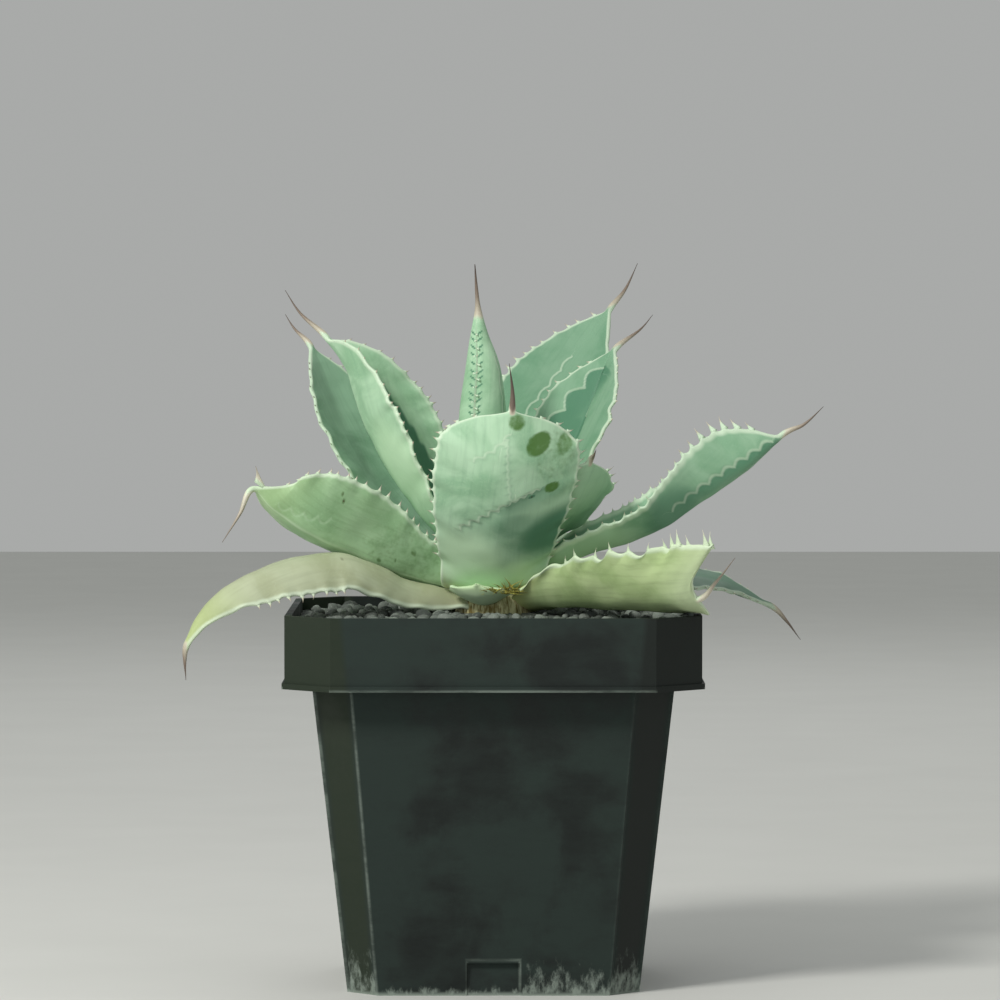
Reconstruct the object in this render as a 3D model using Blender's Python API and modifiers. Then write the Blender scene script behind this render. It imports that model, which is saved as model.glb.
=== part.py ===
"""Potted agave: a glaucous rosette with toothed, spine-tipped leaves in a square black nursery pot.

Run with: blender --background --python part.py
Metres, +Z up, origin at the centre of the pot's underside, the front of the pot facing -Y.
"""
import math
import random
from dataclasses import dataclass

import bpy
import bmesh
from mathutils import Euler, Matrix, Vector

MM = 0.001
CLEARANCE = 0.3                 # gap between pieces that touch, mm
SEED = 7

# Pot, mm: full width across flats and the width of one flat between the cut corners
POT_HEIGHT = 120.0
RIM_WIDTH, RIM_FLAT = 131.0, 101.4
RIM_BAND = 23.0                 # height of the stepped-out band
RIM_BEAD = 0.9                  # lip along the band's lower edge
BODY_TOP_WIDTH, BODY_TOP_FLAT = 114.0, 89.0
BASE_WIDTH, BASE_FLAT = 92.5, 73.2
FACE_STEP = 0.9                 # how far the four faces stand proud of the corner panels
BAND_STEP = 0.05                # the band and the inside have almost none
EDGE_ROUND = 0.6                # softening of the foot and of the top edge
WALL = 2.2
FLOOR = 2.6
MITRE = math.tan(math.radians(22.5))        # how much a flat shortens as the wall goes inwards
RECESS = (16.7, 11.4, 1.6)      # at the foot of each face: width, height, cutter's depth
RECESS_SETBACK = 0.35           # how far the cutter's middle lies outside the foot
DRAIN_RADIUS, DRAIN_PLACE, DRAIN_SIDES = 4.5, 23.0, 12
SHARP_ANGLE = 25.0

# Filling, mm
SOIL_TOP = 108.0
GRIT_EDGE_TOP, GRIT_CROWN_TOP = 116.6, 119.2
GRIT_RINGS = (1.0, 0.66, 0.34)  # shares of the pot's width where the heap changes slope
PEBBLES = 54
PEBBLE_TRIES = 4000
PEBBLE_SIZE = (1.5, 2.9)        # radius range
PEBBLE_SHAPE = (1.15, 0.9, 0.72)
PEBBLE_ROUGHNESS = 0.15
PEBBLE_TILT = 0.4               # radians
PEBBLE_PACKING = 0.86           # closest distance as a share of two radii
PEBBLE_SUNK = 0.15              # height of a pebble's middle over the bed, in radii
PEBBLE_HEADROOM = 3.0           # under the leaves
STEM_MARGIN = 4.0               # bare ring round the stem

# Short stem that the leaves grow from, mm: radius and height, top to bottom
STEM_PROFILE = ((0.0, 138.0), (3.6, 137.2), (6.4, 134.0), (9.2, 129.6), (11.4, 124.0), (12.4, 118.0), (11.8, 108.3),
                (0.0, 108.3))
STEM_SIDES = 14
STEM_WIDEST = 12.4

# Leaf build
BLADE_STATIONS = 23
TIP_CROWDING = 1.35             # above 1 the stations are closer together near the tip
SPINE_STATIONS = 3
ACROSS = (-1.0, -0.5, 0.0, 0.5, 1.0)    # places across the blade, margin to margin
CUP_POWER = 1.6                 # shape of the channel: 1 is a plain V, 2 a round trough
CUP_START, CUP_GROWTH = 0.3, 4.0        # the channel deepens over the leaf's lowest part
EDGE_THICKNESS = 1.0            # at the margin, mm
THICKNESS = ((0.0, 3.2), (0.3, 4.4), (1.0, 2.0))    # along the middle of the blade: share of length, mm
THIN_BELOW = 6.0                # half width under which the blade also gets thinner, mm
SPINE_RADIUS = 1.15
SPINE_TAPER = 0.62
TOOTH_HEIGHT = 1.9
TOOTH_VARIATION = 0.25
TOOTH_LEAN = 0.2                # towards the leaf's tip, as a share of the height
TOOTH_START, TOOTH_END = 0.16, 0.97     # share of the blade that has teeth


@dataclass(frozen=True)
class Leaf:
    """One leaf: its outer keel line from the stem to the foot of its spine, then the spine, in mm."""

    name: str
    azimuth: float          # direction it grows in, degrees from +X towards +Y
    keel: tuple             # points along the outer keel
    spine: tuple            # points along the spine past the last keel point
    half_width: float       # at its widest
    cup: float              # depth of the channel as a share of the half width
    roll: tuple = (0, 0)    # twist about the keel at the stem and at the tip, degrees
    turn: tuple = (0, 1)    # between which shares of its length that twist changes
    widest: float = 0.62    # where it is widest, as a share of its length
    base: float = 0.24      # half width at the stem as a share of the widest
    blunt: float = 2.2      # how full the tip is
    fill: float = 1.0       # below 1 the blade widens sooner, above 1 later
    sweep: tuple = (0, 0)   # how far either margin runs ahead of the keel, as a share of the half width
    tone: str = "mint"
    toothed: bool = True    # a withered base has lost its teeth


LEAVES = (
    Leaf("leaf_front", -86,
         ((0, -5, 125.5), (0, -12, 127.5), (1, -22, 137), (3, -33, 152), (5, -40, 168), (6, -41, 184)),
         ((6, -41, 191), (5, -40, 199)),
         half_width=22.5, cup=0.28, widest=0.66, base=0.5, blunt=3.2, fill=0.9, sweep=(0.22, 0.22)),
    Leaf("leaf_left_channelled", 162,
         ((-4, 2, 134.5), (-16, 6, 141), (-30, 11, 157), (-41, 15, 176), (-48, 17, 196), (-55, 20, 206)),
         ((-63, 22, 214), (-68, 24, 222)),
         half_width=17.5, cup=1.0, roll=(0, -2), widest=0.6, blunt=2.1),
    Leaf("leaf_left_back", 143,
         ((-6, 4, 128), (-22, 16, 139), (-38, 28, 156), (-50, 37, 177), (-57, 43, 193), (-61, 46, 203)),
         ((-66, 50, 209), (-69, 52, 214)),
         half_width=20, cup=0.34, widest=0.6, tone="shade"),
    Leaf("leaf_right_back_tall", 62,
         ((1.5, 5.5, 136), (4, 22, 152), (12, 38, 173), (23, 49, 190), (32, 57, 204), (39, 61, 215)),
         ((44, 64, 222), (48, 66, 231)),
         half_width=19, cup=0.32, roll=(0, -8), widest=0.66, base=0.18, blunt=1.8, fill=1.3),
    Leaf("leaf_right_upright", 31,
         ((5, 2.2, 132.3), (17, 6.5, 147), (26, 10.5, 165), (32, 15, 180), (37, 18, 194), (40, 20, 202)),
         ((48, 25, 209), (52, 26, 214)),
         half_width=19.5, cup=0.38, roll=(0, 8), base=0.18, fill=1.3),
    Leaf("leaf_right_young", -50,
         ((5, -4, 132.2), (12, -8.7, 138), (20, -15, 146.5), (27, -22, 157.5), (31, -26.5, 167)),
         ((32, -29.5, 169.5), (32.5, -32, 171.5)),
         half_width=18, cup=0.22, widest=0.66, base=0.22, blunt=2.8, fill=1.2),
    Leaf("leaf_right_long", -12,
         ((6, -1.8, 128.2), (33, -7, 138), (52, -11, 144.5), (76, -16, 161), (92, -20, 175)),
         ((99, -21, 179), (105, -22, 185)),
         half_width=10.6, cup=1.1, roll=(14, -34), turn=(0.52, 0.84), widest=0.78, base=0.45, blunt=2.4,
         fill=0.85),
    Leaf("leaf_left_low", 196,
         ((-6, -2, 125), (-27, -7, 130), (-43, -12, 137), (-58, -17, 144), (-70, -20, 152), (-76, -22, 158)),
         ((-80, -24, 151), (-84, -26, 145), (-86, -27, 142)),
         half_width=18, cup=0.7, roll=(35, 35), base=0.42, blunt=2.8, tone="olive"),
    Leaf("leaf_left_arching", 203,
         ((-7, -3, 121.4), (-27, -10, 125), (-40, -16, 131), (-51, -20, 134.5), (-68, -27, 132), (-82, -32, 126),
          (-92, -36, 118), (-96, -38, 110)),
         ((-97, -38, 105), (-97, -38, 99)),
         half_width=12.5, cup=-0.4, roll=(-15, -20), widest=0.5, base=0.42, blunt=1.6, tone="cream"),
    Leaf("leaf_right_low", -45,
         ((6, -6, 121), (21, -22, 122.5), (37, -40, 123), (50, -52, 123.5), (63.5, -63.5, 125)),
         ((69, -67, 131), (75, -68, 139)),
         half_width=17.5, cup=0.5, roll=(-31, -35), widest=0.92, base=0.4, blunt=3.2, fill=0.42,
         sweep=(1.15, -0.45), tone="yellow"),
    Leaf("leaf_right_drooping", 20,
         ((7, 3, 124.5), (38, 14, 126), (62, 23, 126), (76, 28, 124), (90, 33, 118)),
         ((96, 36, 113), (101, 39, 107)),
         half_width=14, cup=0.2, roll=(0, 22), widest=0.56, base=0.38, blunt=1.6,
         tone="shade"),
    Leaf("leaf_back", 92,
         ((-1, 6, 129.5), (-2, 22, 139.5), (-2, 42, 153), (-3, 58, 162), (-4, 70, 167)),
         ((-4, 76, 171), (-4, 81, 177)),
         half_width=18, cup=0.4, widest=0.64, base=0.2, tone="shade"),
    Leaf("leaf_back_low_right", 73,
         ((2, 6, 121), (10, 32, 127), (17, 54, 133), (22, 72, 134), (26, 84, 132)),
         ((28, 90, 133), (30, 96, 137)),
         half_width=19, cup=0.3, widest=0.64, base=0.3, tone="olive"),
    Leaf("leaf_back_low_left", 122,
         ((-4, 6, 124.5), (-18, 28, 131), (-30, 48, 138), (-40, 64, 140), (-47, 75, 138)),
         ((-50, 80, 140), (-53, 85, 144)),
         half_width=20, cup=0.3, widest=0.64, base=0.28, tone="olive"),
    Leaf("withered_leaf_base", -104,
         ((-2, -7, 120.8), (-4, -14, 121.4), (-5, -19, 124), (-5.5, -21.5, 127.5)),
         ((-5.6, -21.8, 128.2), (-5.6, -21.9, 128.8)),
         half_width=10, cup=0.4, widest=0.5, base=0.62, blunt=5.0, tone="cream", toothed=False),
)

# Rolled young leaf in the middle, mm: centre line points with the radius there
BUD = ((-2.0, 0.0, 138.4, 3.6), (-2.5, 0.0, 147.0, 6.4), (-3.0, 0.0, 160.0, 7.8), (-3.2, 0.0, 172.0, 7.9),
       (-3.2, 0.0, 184.0, 7.4), (-3.2, 0.0, 198.0, 5.4), (-4.5, 0.0, 208.5, 2.8), (-5.0, 0.0, 217.0, 1.1),
       (-5.5, 0.0, 223.0, 0.75), (-6.0, 0.0, 230.0, 0.35))
BUD_SPINE_POINTS = 3            # how many of those points belong to its spine
BUD_SIDES = 14
BUD_OVERLAP = 0.9               # step where the leaf's edge wraps over itself
BUD_FULL_RADIUS = 5.0           # radius above which that step is full
BUD_SEAM = 248.0                # direction of that edge, degrees from +X
BUD_CLOSING = 0.995             # share of a full turn that the wrap covers
BUD_RING_STEP = 2.6
BUD_TOOTH_OUT, BUD_TOOTH_UP = 1.1, 0.8
BUD_TEETH_FROM, BUD_TEETH_BEFORE_END = 5, 5     # rings without teeth at either end
BUD_TEETH_RINGS = 2             # rings between one tooth and the next

# Colours, linear
TONES = {
    "mint": (0.44, 0.68, 0.46), "shade": (0.26, 0.46, 0.31), "olive": (0.36, 0.56, 0.34), "cream": (0.55, 0.60, 0.38),
    "yellow": (0.52, 0.68, 0.26),
}
SPINE_COLOUR = (0.09, 0.05, 0.035)
POT_COLOUR = (0.022, 0.030, 0.029)
SOIL_COLOUR = (0.03, 0.024, 0.018)
GRIT_COLOUR = (0.16, 0.17, 0.16)
STEM_COLOUR = (0.38, 0.42, 0.22)
SKIN, SPINE = 0, 1              # material slots of a leaf


# Scene and materials

def clear_scene():
    """Removes every object that the start file holds."""
    for obj in list(bpy.data.objects):
        bpy.data.objects.remove(obj, do_unlink=True)


def new_collection(name, hidden=False):
    """Makes a collection in the scene."""
    collection = bpy.data.collections.new(name)
    collection.hide_render = hidden
    bpy.context.scene.collection.children.link(collection)
    return collection


def material(name, colour, roughness):
    """Makes a plain Principled material that is no metal."""
    made = bpy.data.materials.new(name)
    made.use_nodes = True
    shader = made.node_tree.nodes["Principled BSDF"]
    shader.inputs["Base Color"].default_value = (*colour, 1.0)
    shader.inputs["Roughness"].default_value = roughness
    shader.inputs["Metallic"].default_value = 0.0
    made.diffuse_color = (*colour, 1.0)
    return made


def add_object(name, bm, collection, *materials):
    """Turns a bmesh, in mm, into an object with its faces out."""
    bmesh.ops.recalc_face_normals(bm, faces=bm.faces)
    bmesh.ops.scale(bm, vec=(MM, MM, MM), verts=bm.verts)
    mesh = bpy.data.meshes.new(name)
    bm.to_mesh(mesh)
    bm.free()
    for item in materials:
        mesh.materials.append(item)
    obj = bpy.data.objects.new(name, mesh)
    collection.objects.link(obj)
    return obj


def add_turned(name, profile, sides, collection, *materials):
    """A turned body: a profile of (radius, height), top to bottom from axis to axis, with a Screw modifier."""
    bm = bmesh.new()
    points = [bm.verts.new((radius, 0, height)) for radius, height in profile]
    for upper, lower in zip(points, points[1:]):
        bm.edges.new((upper, lower))
    obj = add_object(name, bm, collection, *materials)
    screw = obj.modifiers.new("turn", "SCREW")
    screw.steps = sides
    screw.render_steps = sides
    screw.use_merge_vertices = True
    screw.merge_threshold = 0.00001
    return obj


def make_cutter(obj):
    """Marks an object as a helper that is left out of the part."""
    obj.hide_render = True
    obj.display_type = "WIRE"
    return obj


def cut(obj, cutter):
    """Adds an exact Boolean difference with one object."""
    modifier = obj.modifiers.new(cutter.name, "BOOLEAN")
    modifier.operation = "DIFFERENCE"
    modifier.solver = "EXACT"
    modifier.object = cutter


def apply_modifiers(obj):
    """Replaces an object's mesh with its evaluated one."""
    bpy.context.view_layer.update()
    graph = bpy.context.evaluated_depsgraph_get()
    mesh = bpy.data.meshes.new_from_object(obj.evaluated_get(graph))
    obj.modifiers.clear()
    obj.data = mesh


def bridge(bm, lower, upper):
    """Joins two rings of the same count with quads."""
    count = len(lower)
    for i in range(count):
        j = (i + 1) % count
        bm.faces.new((lower[i], lower[j], upper[j], upper[i]))


def raise_tooth(bm, quad, offset):
    """Covers a quad with a four-sided tooth whose tip lies an offset away from its middle."""
    middle = sum((vert.co for vert in quad), Vector()) / len(quad)
    tip = bm.verts.new(middle + offset)
    for a, b in zip(quad, quad[1:] + quad[:1]):
        bm.faces.new((a, b, tip))


# Pot and filling

def pot_ring(bm, z, width, flat, step):
    """One ring of the pot: four flats and four cut corners, whose panels lie a step behind the flats."""
    half, end = width / 2, flat / 2
    behind = end + step * MITRE
    corner = ((half, end), (half - step, behind), (behind, half - step), (end, half))
    ring = []
    for quarter in range(4):
        turn = Matrix.Rotation(math.radians(90 * quarter), 3, "Z")
        ring += [bm.verts.new(turn @ Vector((x, y, z))) for x, y in corner]
    return ring


def loft_sections(sections):
    """A closed body through pot sections given as (z, width, flat, step)."""
    bm = bmesh.new()
    rings = [pot_ring(bm, *section) for section in sections]
    for lower, upper in zip(rings, rings[1:]):
        bridge(bm, lower, upper)
    bm.faces.new(rings[0])
    bm.faces.new(rings[-1])
    return bm


def body_at(z):
    """Width and flat of the pot's body at a height."""
    share = z / (POT_HEIGHT - RIM_BAND)
    return (BASE_WIDTH + (BODY_TOP_WIDTH - BASE_WIDTH) * share,
            BASE_FLAT + (BODY_TOP_FLAT - BASE_FLAT) * share)


def inside(z, gap=0.0):
    """Section of the pot's inside at a height, or of what fills it with a gap."""
    thick = 2 * (WALL + gap)
    if z > POT_HEIGHT - RIM_BAND + WALL:
        return (z, RIM_WIDTH - thick, RIM_FLAT - thick * MITRE, BAND_STEP)
    width, flat = body_at(z)
    return (z, width - thick, flat - thick * MITRE, FACE_STEP)


def pot_sections():
    """The pot's outside from the foot up, over the rim, and its inside down to the floor."""
    ledge = POT_HEIGHT - RIM_BAND
    shoulder = ledge + WALL
    bead_width = RIM_WIDTH + 2 * RIM_BEAD
    rim_wall = 2 * (WALL - EDGE_ROUND / 2)
    return (
        (0.0, BASE_WIDTH - 2 * EDGE_ROUND, BASE_FLAT - EDGE_ROUND, FACE_STEP),
        (EDGE_ROUND, *body_at(EDGE_ROUND), FACE_STEP),
        (ledge - EDGE_ROUND, *body_at(ledge), FACE_STEP),
        (ledge, bead_width - 2 * EDGE_ROUND, RIM_FLAT, BAND_STEP),
        (ledge + RIM_BEAD, bead_width, RIM_FLAT + RIM_BEAD * MITRE, BAND_STEP),
        (ledge + 2 * RIM_BEAD, RIM_WIDTH, RIM_FLAT, BAND_STEP),
        (POT_HEIGHT - EDGE_ROUND, RIM_WIDTH, RIM_FLAT, BAND_STEP),
        (POT_HEIGHT, RIM_WIDTH - 2 * EDGE_ROUND, RIM_FLAT - 2 * EDGE_ROUND * MITRE, BAND_STEP),
        (POT_HEIGHT, RIM_WIDTH - rim_wall, RIM_FLAT - rim_wall * MITRE, BAND_STEP),
        inside(POT_HEIGHT - EDGE_ROUND),
        inside(shoulder + EDGE_ROUND),
        inside(shoulder),
        inside(FLOOR),
    )


def make_pot_cutter(cutters):
    """The recess at the foot of each face and the drain holes, in one helper."""
    bm = bmesh.new()
    wide, high, deep = RECESS
    for quarter in range(4):
        block = bmesh.ops.create_cube(bm, size=1.0)["verts"]
        bmesh.ops.scale(bm, vec=(deep, wide, 2 * high), verts=block)
        bmesh.ops.translate(bm, vec=(BASE_WIDTH / 2 + RECESS_SETBACK, 0, 0), verts=block)
        turn = Matrix.Rotation(math.radians(90 * quarter), 3, "Z")
        bmesh.ops.rotate(bm, cent=(0, 0, 0), matrix=turn, verts=block)
    for side_x in (-1, 1):
        for side_y in (-1, 1):
            drill = bmesh.ops.create_cone(bm, cap_ends=True, segments=DRAIN_SIDES, radius1=DRAIN_RADIUS,
                                          radius2=DRAIN_RADIUS, depth=4 * FLOOR)["verts"]
            bmesh.ops.translate(bm, vec=(side_x * DRAIN_PLACE, side_y * DRAIN_PLACE, 0), verts=drill)
    return make_cutter(add_object("pot_cuts", bm, cutters))


def make_pot(parts, cutters):
    """The moulded pot with a recess at the foot of each face and four drain holes."""
    pot = add_object("pot", loft_sections(pot_sections()), parts, material("black polypropylene", POT_COLOUR, 0.55))
    cut(pot, make_pot_cutter(cutters))
    pot.data.shade_smooth()
    pot.data.set_sharp_from_angle(angle=math.radians(SHARP_ANGLE))


def make_soil(parts):
    """The block of potting mix, a clearance inside the pot's walls."""
    shoulder = POT_HEIGHT - RIM_BAND + WALL + CLEARANCE
    _, width, flat, step = inside(shoulder - WALL, CLEARANCE)
    sections = (
        inside(FLOOR + CLEARANCE, CLEARANCE),
        (shoulder, width, flat, step),
        inside(shoulder + EDGE_ROUND, CLEARANCE),
        inside(SOIL_TOP, CLEARANCE),
    )
    add_object("soil", loft_sections(sections), parts, material("peat potting mix", SOIL_COLOUR, 0.95))


def grit_level(reach):
    """Height of the grit at a distance from the stem."""
    share = min(reach / (RIM_WIDTH / 2), 1.0)
    return GRIT_CROWN_TOP + (GRIT_EDGE_TOP - GRIT_CROWN_TOP) * share


def leaf_undersides():
    """Points under all leaves, each with its leaf's half width, which the pebbles stay below."""
    points = []
    for leaf in LEAVES:
        for a, b in zip(leaf.keel, leaf.keel[1:]):
            for k in range(4):
                points.append((Vector(a).lerp(Vector(b), k / 4), leaf.half_width))
    return points


def pebble_places(rng):
    """Free places for pebbles in the pot, clear of the stem, the walls and the low leaves."""
    margin = WALL + PEBBLE_SIZE[1] + 1.0
    half = RIM_WIDTH / 2 - margin
    corner = (RIM_WIDTH + RIM_FLAT) / 2 - math.sqrt(2) * margin
    leaves = leaf_undersides()
    placed = []
    for _ in range(PEBBLE_TRIES):
        x, y = rng.uniform(-half, half), rng.uniform(-half, half)
        radius = rng.uniform(*PEBBLE_SIZE)
        reach = math.hypot(x, y)
        if reach < STEM_WIDEST + STEM_MARGIN or abs(x) + abs(y) > corner:
            continue
        if any(math.hypot(x - px, y - py) < PEBBLE_PACKING * (radius + pr) for px, py, pr, _ in placed):
            continue
        level = grit_level(reach)
        ceiling = level + radius + PEBBLE_HEADROOM
        if any(p.z < ceiling and math.hypot(p.x - x, p.y - y) < wide * 0.7 + radius for p, wide in leaves):
            continue
        placed.append((x, y, radius, level))
        if len(placed) == PEBBLES:
            break
    return placed


def add_pebble(x, y, radius, level, rng, stones):
    """One rough pebble, half sunk in the bed."""
    bm = bmesh.new()
    bmesh.ops.create_icosphere(bm, subdivisions=1, radius=radius)
    for vert in bm.verts:
        vert.co *= rng.uniform(1 - PEBBLE_ROUGHNESS, 1 + PEBBLE_ROUGHNESS)
    bmesh.ops.scale(bm, vec=PEBBLE_SHAPE, verts=bm.verts)
    turn = Euler((rng.uniform(-PEBBLE_TILT, PEBBLE_TILT), rng.uniform(-PEBBLE_TILT, PEBBLE_TILT),
                  rng.uniform(0, math.tau)))
    bmesh.ops.rotate(bm, cent=(0, 0, 0), matrix=turn.to_matrix(), verts=bm.verts)
    bmesh.ops.translate(bm, vec=(x, y, level + radius * PEBBLE_SUNK), verts=bm.verts)
    add_object("pebble", bm, stones)


def make_grit(parts, stem_gap):
    """The topping: a slightly heaped bed with half-sunk pebbles fused into it."""
    width = RIM_WIDTH - 2 * (WALL + CLEARANCE)
    flat = RIM_FLAT - 2 * (WALL + CLEARANCE) * MITRE
    sections = [(SOIL_TOP + CLEARANCE, width, flat, BAND_STEP)]
    for share in GRIT_RINGS:
        sections.append((grit_level(share * RIM_WIDTH / 2), width * share, flat * share, BAND_STEP))
    bed = add_object("grit", loft_sections(sections), parts, material("grey grit", GRIT_COLOUR, 0.9))
    rng = random.Random(SEED)
    stones = bpy.data.collections.new("pebbles")
    for place in pebble_places(rng):
        add_pebble(*place, rng, stones)
    union = bed.modifiers.new("pebbles", "BOOLEAN")
    union.operation = "UNION"
    union.solver = "EXACT"
    union.operand_type = "COLLECTION"
    union.collection = stones
    apply_modifiers(bed)
    for stone in list(stones.objects):
        bpy.data.objects.remove(stone, do_unlink=True)
    bpy.data.collections.remove(stones)
    cut(bed, stem_gap)


# Curves and tables

def curve_point(points, t):
    """Position on a Catmull-Rom curve through the points, t from 0 to 1 along their count."""
    place = min(max(t, 0.0), 1.0) * (len(points) - 1)
    i = min(int(place), len(points) - 2)
    u = place - i
    p1, p2 = points[i], points[i + 1]
    p0 = points[i - 1] if i else 2 * p1 - p2
    p3 = points[i + 2] if i + 2 < len(points) else 2 * p2 - p1
    square, cube = 2 * p0 - 5 * p1 + 4 * p2 - p3, 3 * p1 - p0 - 3 * p2 + p3
    return 0.5 * (2 * p1 + (p2 - p0) * u + square * u * u + cube * u ** 3)


def station_share(share, crowding):
    """Share of the length for a share of the stations."""
    return 1 - (1 - share) ** crowding


def curve_stations(points, count, first, last, crowding=1.0, steps=240):
    """Points along part of the curve, evenly spaced by length or crowded towards its end."""
    fine = [curve_point(points, first + (last - first) * k / steps) for k in range(steps + 1)]
    lengths = [0.0]
    for a, b in zip(fine, fine[1:]):
        lengths.append(lengths[-1] + (b - a).length)
    result, j = [], 0
    for k in range(count + 1):
        want = lengths[-1] * station_share(k / count, crowding)
        while j < steps - 1 and lengths[j + 1] < want:
            j += 1
        span = lengths[j + 1] - lengths[j]
        result.append(fine[j].lerp(fine[j + 1], min((want - lengths[j]) / span, 1.0)))
    return result


def smooth(share):
    """Eases a share from 0 to 1."""
    share = min(max(share, 0.0), 1.0)
    return share * share * (3 - 2 * share)


def between(table, place):
    """Straight-line value of a table of (place, value) pairs."""
    for (a, first), (b, second) in zip(table, table[1:]):
        if place <= b:
            return first + (second - first) * (place - a) / (b - a)
    return table[-1][1]


# Leaves

def blade_half_width(leaf, t):
    """Half width of the blade at a share of its length."""
    if t < leaf.widest:
        share = leaf.base + (1 - leaf.base) * smooth((t / leaf.widest) ** leaf.fill)
    else:
        share = 1 - ((t - leaf.widest) / (1 - leaf.widest)) ** leaf.blunt
    return max(leaf.half_width * share, SPINE_RADIUS)


def leaf_frame(leaf, tangent, t):
    """Directions across the leaf and out of its upper face, at a share of its length."""
    azimuth = math.radians(leaf.azimuth)
    side = Vector((-math.sin(azimuth), math.cos(azimuth), 0))
    side = (side - side.dot(tangent) * tangent).normalized()
    up = tangent.cross(side)
    turned = min(max((t - leaf.turn[0]) / (leaf.turn[1] - leaf.turn[0]), 0.0), 1.0)
    roll = math.radians(leaf.roll[0] + (leaf.roll[1] - leaf.roll[0]) * turned)
    return side * math.cos(roll) + up * math.sin(roll), up * math.cos(roll) - side * math.sin(roll)


def blade_ring(leaf, point, tangent, t):
    """Points round the blade at one station, and the outward directions at its two margins."""
    side, up = leaf_frame(leaf, tangent, t)
    wide = blade_half_width(leaf, t)
    depth = leaf.cup * smooth(t * CUP_GROWTH + CUP_START)
    swell = (between(THICKNESS, t) - EDGE_THICKNESS) * min(wide / THIN_BELOW, 1.0)
    outer, inner, out = [], [], {}
    for s in ACROSS:
        rise = depth * abs(s) ** CUP_POWER
        slope = math.copysign(CUP_POWER * depth * abs(s) ** (CUP_POWER - 1), s)
        place = point + wide * (side * s + up * rise + tangent * (leaf.sweep[s > 0] * s * s))
        normal = (up - side * slope).normalized()
        outer.append(place)
        inner.append(place + normal * (EDGE_THICKNESS + swell * (1 - s * s)))
        if abs(s) == 1.0:
            out[s] = (side + up * slope).normalized() * s
    return outer + inner[::-1], out


def spine_ring(leaf, point, tangent, share):
    """Points round the spine, as many as round the blade, at a share of the spine's length."""
    side, up = leaf_frame(leaf, tangent, 1.0)
    radius = SPINE_RADIUS * (1 - SPINE_TAPER * share)
    across = len(ACROSS)
    ring = []
    for k in range(2 * across):
        angle = math.pi * (k + 0.5) / across
        ring.append(point + radius * (up - side * math.cos(angle) - up * math.sin(angle)))
    return ring


def skin_segment(bm, lower, upper, slot):
    """Joins two rings, with both faces of the blade split along the same diagonal, and leaves out the margins."""
    across = len(ACROSS)
    count = 2 * across
    for k in range(count):
        if k % across == across - 1:
            continue
        a, b, c, d = lower[k], lower[k + 1], upper[k + 1], upper[k]
        halves = ((a, b, c), (a, c, d)) if k < across else ((a, b, d), (b, c, d))
        for half in halves:
            bm.faces.new(half).material_index = slot


def close_margins(bm, lower, upper, out, tangent, rng, slot):
    """Closes both margins between two rings, with a tooth on each where the ring has outward directions."""
    count = 2 * len(ACROSS)
    for k, sign in ((len(ACROSS) - 1, 1.0), (count - 1, -1.0)):
        j = (k + 1) % count
        quad = (lower[k], lower[j], upper[j], upper[k])
        if out:
            height = TOOTH_HEIGHT * rng.uniform(1 - TOOTH_VARIATION, 1 + TOOTH_VARIATION)
            raise_tooth(bm, quad, height * (out[sign] + TOOTH_LEAN * tangent))
        else:
            bm.faces.new(quad[:3]).material_index = slot
            bm.faces.new((quad[0], quad[2], quad[3])).material_index = slot


def leaf_mesh(leaf, rng):
    """The leaf's closed mesh: blade, marginal teeth and terminal spine in one body."""
    path = [Vector(point) for point in leaf.keel + leaf.spine]
    foot = (len(leaf.keel) - 1) / (len(path) - 1)
    line = curve_stations(path, BLADE_STATIONS, 0.0, foot, TIP_CROWDING)
    line += curve_stations(path, SPINE_STATIONS + 1, foot, 1.0)[1:]
    bm = bmesh.new()
    rings = []
    for i, point in enumerate(line[:-1]):
        tangent = (line[i + 1] - line[max(i - 1, 0)]).normalized()
        if i < BLADE_STATIONS:
            t = station_share(i / BLADE_STATIONS, TIP_CROWDING)
            ring, out = blade_ring(leaf, point, tangent, t)
            if not (leaf.toothed and TOOTH_START < t < TOOTH_END):
                out = {}
        else:
            ring, out = spine_ring(leaf, point, tangent, (i - BLADE_STATIONS) / (SPINE_STATIONS + 1)), {}
        rings.append(([bm.verts.new(place) for place in ring], out, tangent))
    for i, ((lower, out, tangent), (upper, _, _)) in enumerate(zip(rings, rings[1:])):
        slot = SPINE if i >= BLADE_STATIONS else SKIN
        skin_segment(bm, lower, upper, slot)
        close_margins(bm, lower, upper, out, tangent, rng, slot)
    bm.faces.new(rings[0][0])
    last = rings[-1][0]
    tip = bm.verts.new(line[-1])
    for a, b in zip(last, last[1:] + last[:1]):
        bm.faces.new((a, b, tip)).material_index = SPINE
    return bm


# Rolled young leaf

def bud_at(z):
    """Centre and radius of the rolled leaf at a height."""
    for a, b in zip(BUD, BUD[1:]):
        if z <= b[2]:
            share = (z - a[2]) / (b[2] - a[2])
            return [p + (q - p) * share for p, q in zip(a, b)]
    return list(BUD[-1])


def bud_ring(bm, z, wrapped):
    """One ring of the rolled leaf, a spiral where the leaf wraps over itself."""
    x, y, _, radius = bud_at(z)
    step = BUD_OVERLAP * min(radius / BUD_FULL_RADIUS, 1.0) if wrapped else 0.0
    ring = []
    for k in range(BUD_SIDES):
        share = k / (BUD_SIDES - 1)
        angle = math.radians(BUD_SEAM) + math.tau * share * BUD_CLOSING
        reach = radius + step * (share - 0.5)
        ring.append(bm.verts.new((x + reach * math.cos(angle), y + reach * math.sin(angle), z)))
    return ring


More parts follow.
